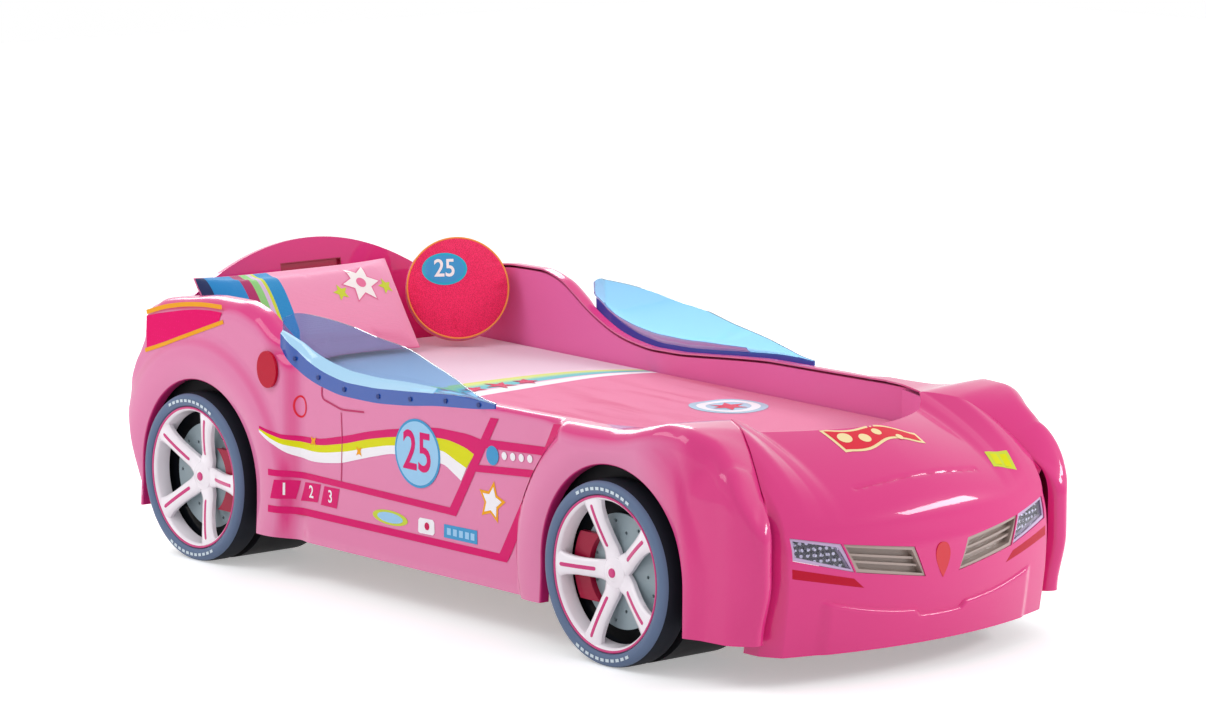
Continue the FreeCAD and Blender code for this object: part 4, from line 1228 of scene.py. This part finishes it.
def side_prints(side):
    """Everything printed on one side: a wave, a frame, a roundel, boxes and small stickers."""
    far = side == "left"
    for name, top, low in zip(("magenta", "yellow", "white"), WAVE, WAVE[1:]):
        printed(f"wave_{name}", [smooth_line(top) + smooth_line(low)[::-1]], name, side)
    x, z = ROUNDEL
    numbers = []
    for text, shape in zip("321" if far else "123", NUMBER_BOXES):
        middle = [sum(p[a] for p in shape) / 4 for a in (0, 1)]
        numbers.append(numeral(text, *middle, 30, far))
    ring = filled(disc(-489, 420, 20, 27), hole=disc(-489, 420, 15, 22))
    lines = [line(smooth_line(stations, 24), width) for stations, width in ((TAIL_TOP, 11), (TAIL_LOW, 10))]
    for name, shapes, colour, lift in (
            ("door_frame", [FRAME_OUTER, FRAME_INNER], "magenta", 1.1),
            ("cross_bands", CROSS_BANDS, "magenta", 1.4),
            ("roundel_rim", [disc(x, z, 84, 80)], "blue", 1.5),
            ("roundel", [disc(x, z, 78, 74)], "sky", 1.9),
            ("roundel_number", [numeral("25", x, z, 92, far)], "magenta", 2.3),
            ("boxes", NUMBER_BOXES, "magenta", 1.0),
            ("box_numbers", numbers, "white", 1.4),
            ("oval_rim", [disc(-150, 202, 66, 17)], "lime", FILM),
            ("oval", [disc(-150, 202, 48, 12)], "sky", 1.2),
            ("tile", [TILE], "white", FILM),
            ("tile_dot", [disc(-12, 202, 9, 9)], "crimson", 1.2),
            ("panel", [PANEL], "blue", FILM),
            ("panel_bars", PANEL_BARS, "sky", 1.2),
            ("star_rim", [star(224, 292, 50, 26, 5, 80)], "orange", FILM),
            ("star", [star(224, 292, 36, 19, 5, 80)], "white", 1.2),
            ("cross_disc", [disc(228, 399, 22, 22)], "blue", 1.8),
            ("cross_dots", DOTS, "white", 1.8),
            ("small_marks", SMALL_MARKS, "orange", 1.5),
            # thin darker lines where the door has moulded grooves: painted shade
            ("door_groove_shade", [line(DOOR_HANDLE, 4.5), line(DOOR_SEAM, 3.0)], "groove", 1.3),
            ("cap_ring", [ring], "red", FILM),
            ("tail_field", [TAIL_FIELD], "dots", FILM),
            ("tail_top", lines[:1], "orange", 1.2),
            ("tail_low", lines[1:], "orange", 1.2)):
        printed(name, shapes, colour, side, lift)


# ---- plain materials on the solids that show ---------------------------------------------------------
FINISHES = {
    "side_board": board_pink, "foot_end_wall": board_pink, "tail_panel": body_pink,
    "headboard": body_pink, "headboard_slot": slot_red, "window_screws": screw_blue,
    # the arch liners' near-black is painted shade inside the wheel arches
    "brake_disc": disc_grey, "caliper": caliper_red, "arch_liner": liner_black,
    "wheel_foot": liner_black, "wheel_bolts": rim_white, "headlamp_housing": lamp_frame,
    "led_board": led_dark, "headlamp_lens": lens_clear, "grille_insert": grille_beige,
    "marker_strip": marker_red, "front_badge": badge_red, "reflector": marker_red,
    "lamp_inlet": liner_black, "slat": base_wood, "foot_deck": base_wood, "cross_beams": base_wood,
    "foot_bearer": base_wood,
}


def finish_solids():
    for name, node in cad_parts.items():
        for key, material in FINISHES.items():
            if key in name and not (key == "headboard" and "slot" in name):
                node.data.materials.clear()
                node.data.materials.append(material)


# ---- bedding -----------------------------------------------------------------------------------------
SPREAD_GAP = 4.5                # the spread hangs down between the mattress and the boards
SPREAD_SKIRT = 60.0
PIPING_R = 2.6


def bedding_plan(gap):
    """Stations from the head end to the foot end: x and half width of the well's plan, less a gap."""
    back, half = WELL_BACK_X + gap, WELL_HALF - gap
    stations = [(mix(back, BOW_START_X, k / 90), half) for k in range(90)]
    for k in range(41):
        angle = math.pi / 2 * k / 40
        ahead, beside = math.sin(angle) ** (2 / BOW_POWER), math.cos(angle) ** (2 / BOW_POWER)
        stations.append((BOW_START_X + (BOW_DEPTH - gap) * ahead, half * beside))
    return stations


def bed_top(x):
    back, front = WELL_BACK_X + BEDDING_GAP, BOW_START_X + BOW_DEPTH
    return mix(*MATTRESS_TOP, (x - back) / (front - back))


def ripple(x, y):
    """Height of the spread's soft folds, which run lengthwise near the middle."""
    broad = 1.1 * math.sin(x / 95 + 0.7 * math.sin(y / 120)) * math.sin(y / 130 + 1.1)
    fold = 1.7 * math.exp(-((x - 60) / 200) ** 2) * math.sin((y + 0.14 * x) / 26 + 0.8 * math.sin(x / 140))
    return broad + fold


def ring_line(outline, inset):
    """A closed plan outline moved inwards along its own normals."""
    count = len(outline)
    moved = []
    for k, (x, y) in enumerate(outline):
        before, after = outline[k - 1], outline[(k + 1) % count]
        run = math.dist(before, after)
        moved.append((x - (after[1] - before[1]) / run * inset, y + (after[0] - before[0]) / run * inset))
    return moved


def piping(name, route, material, radius=PIPING_R, body="bedding", slot="mattress_cloth"):
    """Closed cord sewn along a seam; the route is a closed line of points."""
    count = len(route)
    turns = around(8) + [2 * math.pi]
    grid = []
    for k in range(count):
        centre = Vector(route[k])
        along = (Vector(route[(k + 1) % count]) - Vector(route[k - 1])).normalized()
        side = along.cross(Vector((0, 0, 1)))
        side = side.normalized() if side.length > 0.05 else Vector((1, 0, 0))
        up = side.cross(along)
        grid.append([tuple(centre + radius * (math.cos(t) * side + math.sin(t) * up)) for t in turns])
    grid_piece(name, grid, material, close_rows=True, body=body, slot=slot, sharp=80)


MATTRESS_CORNER = 30.0
# inset and share of the height of each ring of the mattress, from its underside to its top
MATTRESS_RINGS = [(14, 0.0), (5, 0.012), (1, 0.05), (0, 0.1), (-1.0, 0.3), (-1.6, 0.5), (-1.0, 0.7),
                  (0, 0.9), (1, 0.95), (5, 0.988), (14, 1.0)]


def mattress():
    """Foam mattress with a sewn border and piping round its upper and lower edges."""
    plan = bedding_plan(BEDDING_GAP + PIPING_R)
    near = [(x, -y) for x, y in plan]
    far = [(x, y) for x, y in reversed(plan)]
    for k, (x, y) in enumerate(near):
        gone = max(0.0, plan[0][0] + MATTRESS_CORNER - x)
        inset = MATTRESS_CORNER - math.sqrt(MATTRESS_CORNER ** 2 - gone ** 2)
        near[k] = (x, y + inset)
        far[len(far) - 1 - k] = (x, -y - inset)
    outline = near + far[1:]
    low = SLAT_TOP + 0.4
    points = []
    for inset, share in MATTRESS_RINGS:
        points += [(x, y, mix(low, bed_top(x) - 0.6, share)) for x, y in ring_line(outline, inset)]
    count = len(outline)
    faces = [tuple(reversed(range(count)))]
    faces += ring_faces(len(MATTRESS_RINGS), count)
    faces.append(tuple(range(len(points) - count, len(points))))
    pad = piece("mattress_pad", points, faces, mattress_cloth, body="bedding", slot="mattress_cloth",
                nodes=("mattress",), sharp=70)
    for name, share in (("low", 0.06), ("high", 0.94)):
        route = [(x, y, mix(low, bed_top(x), share)) for x, y in ring_line(outline, 0.5)]
        piping(f"mattress_piping_{name}", route, piping_pink)
    return pad


def bedspread(pad):
    """Printed spread over the mattress, its edges tucked down beside it."""
    roll = 10.0
    edge = [(0.0, drop) for drop in (SPREAD_SKIRT, 46.0, 30.0, 18.0)]
    for k in range(5):
        angle = math.pi / 2 * k / 4
        edge.append((roll * (1 - math.cos(angle)), roll * (1 - math.sin(angle))))
    stations = bedding_plan(SPREAD_GAP)
    x0, half0 = stations[0]
    ribs = [(x0 + inset, half0, drop) for inset, drop in edge[:-1]]
    ribs += [(x, half, 0.0) for x, half in stations if x > x0 + roll]
    across = 72
    grid = []
    for x, half, head_drop in ribs:
        shrink = min(1.0, half / (3 * roll))
        side = [(half - inset * shrink, drop) for inset, drop in edge]
        top_y = side[-1][0]
        profile = [(-y, drop) for y, drop in side[:-1]]
        profile += [(mix(-top_y, top_y, k / across), 0.0) for k in range(across + 1)]
        profile += [(y, drop) for y, drop in reversed(side[:-1])]
        line = []
        for y, drop in profile:
            fall = max(drop, head_drop)
            calm = (1 - fade(fall, 0, 12)) * fade(half - abs(y), 0, 60)
            line.append((x, y, bed_top(x) + SPREAD_THICK - 2.4 - fall + ripple(x, y) * calm))
        grid.append(line)
    cloth = grid_piece("bedspread_cloth", grid, spread_cloth, flip=True, body="bedding", slot="spread_pink",
                       nodes=("bedspread",), sharp=70)
    area = sum(face.area for face in cloth.data.polygons)
    length = (stations[-1][0] - x0) * MM + 2 * SPREAD_SKIRT * MM
    width = 2 * half0 * MM + 2 * SPREAD_SKIRT * MM
    return cloth, (width, length), area


def surface_tree(obj):
    """For ray casts on an object that stands at the origin, in millimetres."""
    corners = [v.co / MM for v in obj.data.vertices]
    return BVHTree.FromPolygons(corners, [tuple(p.vertices) for p in obj.data.polygons])


def stick(surface, aim, origin_of, body, slot, films, step=FILM_STEP):
    """Films laid on a piece along aim; origin_of(a, b) is where the ray of a shape's point starts."""
    tree = surface_tree(surface)
    for name, shapes, colour, lift in films:
        corners, faces = joined(meshed(shapes, step))
        points = []
        for origin in (Vector(origin_of(a, b)) for a, b in corners):
            hit = tree.ray_cast(origin, aim)[0] or origin + aim * 200
            points.append(tuple(hit - aim * lift))
        film = piece(name, points, faces, decal[colour], body=body, slot=slot)
        face_towards(film, -aim)


def from_above(x, y):
    return x, y, 700


DOWN = Vector((0, 0, -1))


def spread_prints(cloth):
    x, y = 199.0, 255.0
    ring = filled(disc(x, y, 74, 78), hole=disc(x, y, 52, 56))
    films = [("spread_oval", [disc(x, y, 92, 96)], "haze", FILM), ("spread_ring", [ring], "white", 1.1),
             ("spread_star", [star(x, y, 48, 22, 6)], "red", 1.4)]
    stars = []
    for k in range(5):
        y = mix(-250, 90, k / 4)
        x = -0.5 * (416 + 275 + 0.12 * y) + 2.45 * (y * MM) ** 4 / MM
        stars.append(star(x, y, 44 if k % 2 else 34, 17, 5, 20 * k))
    films.append(("spread_stars", stars, "crimson", 1.1))
    stick(cloth, DOWN, from_above, "bedding", "spread_pink", films)


FILL_PRESSURE = 4.0
FILL_FRAMES = 20
FILL_MESH = 5.0                 # size of the even mesh the cloth is simulated on


def puffed(obj, cap, still):
    """Fills a closed cushion by a cloth simulation; still(place) is 0 where the cloth stays put."""
    even = obj.modifiers.new("even", "REMESH")
    even.mode = "VOXEL"
    even.voxel_size = FILL_MESH * MM
    apply_modifiers(obj, 80)
    before = [v.co.copy() for v in obj.data.vertices]
    cloth = obj.modifiers.new("fill", "CLOTH")
    cloth.settings.use_pressure = True
    cloth.settings.uniform_pressure_force = FILL_PRESSURE
    cloth.settings.effector_weights.gravity = 0.0
    cloth.point_cache.frame_end = FILL_FRAMES
    for step in range(1, FILL_FRAMES + 1):
        bpy.context.scene.frame_set(step)
    graph = bpy.context.evaluated_depsgraph_get()
    after = [v.co.copy() for v in obj.evaluated_get(graph).data.vertices]
    obj.modifiers.clear()
    for vertex, a, b in zip(obj.data.vertices, before, after):
        move = b - a
        reach = min(move.length, cap * MM * still(a))
        if move.length > 0:
            vertex.co = a + move.normalized() * reach
    bpy.context.scene.frame_set(1)
    finer = obj.modifiers.new("finer", "SUBSURF")
    finer.levels = finer.render_levels = 1
    apply_modifiers(obj, 80)


def pillow_place(a, b, c):
    """Point of the pillow from its own frame: along its length, up its face, towards its front."""
    lean = math.radians(PILLOW["lean"])
    x, y, z = PILLOW["centre"]
    return (x - b * math.sin(lean) + c * math.cos(lean), y + a, z + b * math.cos(lean) + c * math.sin(lean))


def pillow_thick(s, t):
    """Half thickness where s and t run from -1 to 1 over the pillow's length and height."""
    return PILLOW["thick"] / 2 * (1 - abs(s) ** 7) ** 0.5 * (1 - abs(t) ** 2.6) ** 0.55


def pillow_plan(s, t):
    """Place on the face, the sides pulled in between the corners."""
    a = PILLOW["length"] / 2 * s * (1 - 0.022 * (1 - t * t))
    b = PILLOW["height"] / 2 * t * (1 - 0.05 * (1 - s ** 4))
    return a, b


def weld(obj):
    """Joins the two halves of a closed shape along their shared edge."""
    def work(shape):
        bmesh.ops.remove_doubles(shape, verts=shape.verts, dist=0.0004)
        bmesh.ops.dissolve_degenerate(shape, edges=shape.edges, dist=0.0001)
        bmesh.ops.recalc_face_normals(shape, faces=shape.faces)

    reshape(obj.data, work)


PILLOW_ROWS = 90
PILLOW_COLS = 44


def pillow():
    """Long pillow: two faces that meet in a piped seam, filled by a simulation."""
    halves = []
    for sign in (1, -1):
        points = []
        for i in range(PILLOW_ROWS + 1):
            s = math.sin(math.pi / 2 * (2 * i / PILLOW_ROWS - 1))
            for j in range(PILLOW_COLS + 1):
                t = math.sin(math.pi / 2 * (2 * j / PILLOW_COLS - 1))
                points.append(pillow_place(*pillow_plan(s, t), sign * 0.88 * pillow_thick(s, t)))
        halves.append((points, grid_faces(PILLOW_ROWS + 1, PILLOW_COLS + 1, flip=sign < 0)))
    body = piece("pillow_case", *joined(halves), pillow_cloth, body="pillow", slot="pillow_pink", sharp=80)
    weld(body)
    lean = math.radians(PILLOW["lean"])
    front = Vector((math.cos(lean), 0, math.sin(lean)))
    centre = Vector(PILLOW["centre"]) * MM
    puffed(body, 9.0, lambda place: fade(abs((place - centre).dot(front)) / MM, 4, 26))
    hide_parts("pillow")
    seam = []
    corners = [(-1, -1), (1, -1), (1, 1), (-1, 1)]
    for (s0, t0), (s1, t1) in zip(corners, corners[1:] + corners[:1]):
        steps = 60 if t0 == t1 else 26
        for k in range(steps):
            a, b = pillow_plan(mix(s0, s1, k / steps), mix(t0, t1, k / steps))
            seam.append(pillow_place(a * 0.994, b * 0.988, 0))
    piping("pillow_piping", seam, piping_pink, radius=2.2, body="pillow", slot="pillow_pink")
    x, y = 150.0, 44.0
    pair = [star(x + dx, y + dy, 24, 11, 5, 30) for dx, dy in ((-72, -22), (72, -16))]
    dot = filled(disc(x, y, 14, 14), step=6)
    stick(body, -front, lambda a, b: pillow_place(a, b, 150), "pillow", "pillow_pink", [
        ("pillow_star_edge", [star(x, y, 62, 33, 6, 0)], "rose", FILM),
        ("pillow_star", [star(x, y, 56, 29, 6, 0)], "cream_white", 1.1),
        ("pillow_star_dot", [dot], "rose", 1.4),
        ("pillow_small_stars", pair, "lime", FILM)], step=8)


def cushion_place(forward, across, up):
    """Point of the round cushion from its own frame."""
    turn, lean = math.radians(CUSHION["turn"]), math.radians(CUSHION["lean"])
    x, y, z = CUSHION["centre"]
    fx, fz = math.cos(lean) * forward - math.sin(lean) * up, math.sin(lean) * forward + math.cos(lean) * up
    return (x + fx * math.cos(turn) - across * math.sin(turn),
            y + fx * math.sin(turn) + across * math.cos(turn), z + fz)


# share of the radius, depth below the crown: the face, then the gusset round it
CUSHION_FACE = [(0.0, 0), (0.3, 0.5), (0.6, 3), (0.8, 7), (0.92, 12), (0.965, 16), (0.985, 20), (1.0, 27)]
CUSHION_COUNT = 84


def round_cushion():
    """Round cushion: two faces with a gusset between them, filled by a simulation."""
    radius, half = CUSHION["radius"], CUSHION["thick"] / 2
    front = [(radius * r, half - deep) for r, deep in CUSHION_FACE] + [(radius, 0.0)]
    profile = front + [(r, -c) for r, c in reversed(front[:-1])]
    count = CUSHION_COUNT
    points = [cushion_place(half, 0, 0)]
    for r, c in profile[1:-1]:
        points += [cushion_place(c, r * math.cos(a), r * math.sin(a)) for a in around(count)]
    points.append(cushion_place(-half, 0, 0))
    rings = len(profile) - 2
    faces = []
    for k in range(count):
        after = (k + 1) % count
        faces.append((0, 1 + k, 1 + after))
        faces.append((len(points) - 1, 1 + (rings - 1) * count + after, 1 + (rings - 1) * count + k))
    for i in range(rings - 1):
        for k in range(count):
            a, b = 1 + i * count + k, 1 + i * count + (k + 1) % count
            faces.append((a, a + count, b + count, b))
    body = piece("cushion_case", points, faces, cushion_cloth, body="round_cushion", slot="cushion_red",
                 sharp=80)
    weld(body)
    seam_r, seam_c = radius * 0.972, half - 17.5
    forward = Vector(cushion_place(1, 0, 0)) - Vector(cushion_place(0, 0, 0))
    centre = Vector(CUSHION["centre"]) * MM

    def depth_and_reach(place):
        """Distance from the cushion's middle plane and from its axis, in millimetres."""
        offset = (place - centre) / MM
        depth = abs(offset.dot(forward))
        return depth, math.sqrt(max(0.0, offset.length ** 2 - depth ** 2))

    def still(place):
        depth, reach = depth_and_reach(place)
        return fade(math.hypot(depth - seam_c, reach - seam_r), 3, 26)

    def gusset(face):
        depth, reach = depth_and_reach(face.center)
        return int(depth < seam_c and reach > radius * 0.8)

    puffed(body, 8.0, still)
    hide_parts("round_cushion")
    paint(body, [gusset_cloth], gusset)
    for name, sign in (("front", 1), ("back", -1)):
        route = [cushion_place(sign * seam_c, seam_r * math.cos(a), seam_r * math.sin(a))
                 for a in around(120)]
        piping(f"cushion_piping_{name}", route, piping_yellow, radius=2.4, body="round_cushion",
               slot="cushion_red")
    x, y = -34.0, 46.0
    stick(body, -forward, lambda a, b: cushion_place(120, a, b), "round_cushion", "cushion_red", [
        ("cushion_oval_edge", [disc(x, y, 57, 42)], "teal", FILM),
        ("cushion_oval", [disc(x, y, 50, 36)], "blue", 1.1),
        ("cushion_number", [numeral("25", x, y, 46)], "cream_white", 1.5)], step=8)


PRINT_SPAN = 0.6                # length the pillow's stripes are counted over, in metres
PILLOW_STRIPES = [(-300, (20, 40, 90)), (-274, (14, 134, 200)), (-198, (172, 26, 96)),
                  (-171, (140, 206, 120)), (-148, (216, 186, 220)), (-138, (206, 218, 52)),
                  (-127, (10, 140, 200)), (-85, (243, 152, 186))]
BAND = [(0.0, (238, 200, 218)), (0.235, (240, 206, 222)), (0.255, (226, 226, 92)), (0.33, (214, 226, 120)),
        (0.385, (176, 216, 160)), (0.43, (96, 194, 198)), (0.54, (84, 188, 200)), (0.56, (240, 150, 190)),
        (0.6, (250, 244, 248)), (0.735, (252, 246, 250)), (0.75, (238, 126, 168))]


def pillow_print(n):
    """Stripes across one end of the pillow, plain cloth beyond."""
    start = PILLOW["centre"][1] * MM - PRINT_SPAN / 2
    along = n.math("MULTIPLY", n.math("SUBTRACT", n.axes()[1], start), 1 / PRINT_SPAN)
    stops = [(a * MM / PRINT_SPAN + 0.5, srgb(*colour)) for a, colour in PILLOW_STRIPES]
    return n.ramp(along, stops, stepped=True)


def spread_print(n):
    """Pale head end, a band of colours that bends across the bed, a darker foot end with streaks."""
    x, y = n.axes()[:2]
    square = n.math("MULTIPLY", y, y)
    fourth = n.math("MULTIPLY", square, square)
    start = n.math("ADD", n.math("MULTIPLY", fourth, 2.9), -0.416)
    slant = n.math("ADD", n.math("MULTIPLY", y, -0.12), -0.275)
    end = n.math("ADD", n.math("MULTIPLY", fourth, 2.0), slant)
    share = n.math("DIVIDE", n.math("SUBTRACT", x, start), n.math("SUBTRACT", end, start))
    place = n.math("ADD", n.math("MULTIPLY", share, 0.5), 0.25, clamp=True)
    plain, streak = srgb(230, 104, 152), srgb(218, 62, 124)
    grain = n.noise(1.6, 3.0, n.stretched((2.2, 15.0, 1.0)))
    streaks = n.ramp(grain, [(0.48, (0, 0, 0, 1)), (0.68, (1, 1, 1, 1))])
    off = n.math("ABSOLUTE", n.math("SUBTRACT", x, 0.02))
    close = n.math("SUBTRACT", 1.0, n.math("MULTIPLY", off, 2.4), clamp=True)
    foot = n.blend(n.math("MULTIPLY", streaks, close), plain, streak)
    head = n.ramp(place, [(position, srgb(*colour)) for position, colour in BAND])
    return n.blend(n.math("GREATER_THAN", place, 0.75), head, foot)


def cushion_print(n):
    return n.ramp(n.noise(420.0, 2.0), [(0.42, srgb(222, 18, 78)), (0.58, srgb(255, 36, 104))])


pillow_cloth = fabric("pillow_cloth", pillow_print)
spread_cloth = fabric("spread_cloth", spread_print)
mattress_cloth = fabric("mattress_cloth", lambda n: srgb(240, 228, 234))
cushion_cloth = fabric("cushion_cloth", cushion_print, threads=500.0, depth=0.6)
gusset_cloth = fabric("gusset_cloth", lambda n: srgb(228, 82, 140))
piping_pink = fabric("piping_pink", lambda n: srgb(232, 110, 160))
piping_yellow = fabric("piping_yellow", lambda n: srgb(246, 160, 66))


PENNANT_STEPS = 24
TAG = [(1040, 258), (1078, 250), (1088, 312), (1050, 318)]
TAG_SQUARES = [[(1048, 266), (1074, 261), (1077, 279), (1051, 284)],
               [(1053, 291), (1080, 286), (1083, 303), (1056, 309)]]


def pennant_wave(t):
    return 11 * math.sin(2.2 * math.pi * t)


def pennant(grow):
    """Outline of a waving pennant that tapers along Y, larger all round by grow."""
    upper, lower = [], []
    for k in range(PENNANT_STEPS + 1):
        t = k / PENNANT_STEPS
        x = mix(962, 996, t) + pennant_wave(t)
        y = mix(-120, 88, t) + {0: -grow, PENNANT_STEPS: grow}.get(k, 0)
        half = mix(34, 9, t) + grow
        upper.append((x - half, y))
        lower.append((x + half, y))
    return upper + lower[::-1]


def bonnet_prints(shell):
    """A plain waving pennant and a two-square tag on the bonnet."""
    dots = []
    for t in (0, 0.33, 0.66, 1.0):
        dot = disc(mix(966, 990, t) + pennant_wave(t), mix(-96, 40, t), mix(17, 9, t), mix(17, 9, t))
        dots.append(filled(dot, step=8))
    stick(shell, DOWN, from_above, "bedstead", "body_pink", [
        ("pennant_edge", [pennant(9)], "cream", FILM),
        ("pennant", [pennant(2)], "red", 1.2),
        ("pennant_dots", dots, "cream", 1.6),
        ("tag", [TAG], "lime", FILM),
        ("tag_squares", TAG_SQUARES, "yellow", 1.2)])


# ---- build -------------------------------------------------------------------------------------------
finish_solids()
for side in SIDES:
    side_skin(side)
    window(side)
    side_prints(side)
    for place in AXLES:
        arch_lip(place, side)
        tyre(place, side)
        rim(place, side)
bonnet_prints(nose_skin())
badge_back()
pad = mattress()
cloth, cut_size, cut_area = bedspread(pad)
spread_prints(cloth)
pillow()
round_cushion()
soften(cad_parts["headboard"], 6.0)


# ---- room ----------------------------------------------------------------------------------------------
FLOOR_REACH = 14.0
FLOOR_GLOW = 0.37
SKY_LIGHT = 0.74


def seen_ray(tree):
    """1 for the rays that should meet a white room: camera, glossy and transmission rays."""
    path = tree.nodes.new("ShaderNodeLightPath")
    seen = path.outputs["Is Camera Ray"]
    for kind in ("Is Glossy Ray", "Is Transmission Ray"):
        either = tree.nodes.new("ShaderNodeMath")
        either.operation = "MAXIMUM"
        tree.links.new(seen, either.inputs[0])
        tree.links.new(path.outputs[kind], either.inputs[1])
        seen = either.outputs[0]
    return seen


def background(tree, colour, strength):
    node = tree.nodes.new("ShaderNodeBackground")
    node.inputs["Color"].default_value = colour
    node.inputs["Strength"].default_value = strength
    return node


def lay_floor():
    mesh = bpy.data.meshes.new("floor")
    corners = [(x * FLOOR_REACH, y * FLOOR_REACH, 0) for x, y in ((-1, -1), (1, -1), (1, 1), (-1, 1))]
    mesh.from_pydata(corners, [], [(0, 1, 2, 3)])
    floor = add_object("floor", mesh)
    n = Nodes("floor_white")
    grain = n.noise(3.0, 2.0)
    n.set(base=n.ramp(grain, [(0.3, srgb(246, 246, 246)), (0.7, srgb(250, 250, 250))]), rough=0.6,
          specular=0.2)
    n.set(glow=(1.0, 1.0, 1.0, 1), glow_strength=n.math("MULTIPLY", seen_ray(n.tree), FLOOR_GLOW))
    mesh.materials.append(n.material)


def make_sky():
    world = bpy.data.worlds.new("studio")
    bpy.context.scene.world = world
    world.use_nodes = True
    tree = world.node_tree
    tree.nodes.clear()
    seen = seen_ray(tree)
    shown = background(tree, (1, 1, 1, 1), 1.0)
    light = background(tree, (0.96, 0.98, 1.0, 1), SKY_LIGHT)
    mixer = tree.nodes.new("ShaderNodeMixShader")
    tree.links.new(seen, mixer.inputs[0])
    tree.links.new(light.outputs[0], mixer.inputs[1])
    tree.links.new(shown.outputs[0], mixer.inputs[2])
    output = tree.nodes.new("ShaderNodeOutputWorld")
    tree.links.new(mixer.outputs[0], output.inputs["Surface"])


def lamp(name, place, aim, size, power):
    data = bpy.data.lights.new(name, "AREA")
    data.shape = "RECTANGLE"
    data.size, data.size_y = size
    data.energy = power
    obj = add_object(name, data)
    obj.location = place
    obj.rotation_euler = (Vector(aim) - Vector(place)).to_track_quat("-Z", "Y").to_euler()


lay_floor()
make_sky()
lamp("key", (-1.5, -3.2, 4.2), (0, 0, 0.3), (3.0, 2.0), 60)
lamp("crest", (3.9, 3.5, 2.6), (1.0, 0, 0.4), (2.4, 0.7), 90)
lamp("behind", (-3.6, 1.8, 2.7), (0, 0, 0.5), (3.2, 1.6), 80)
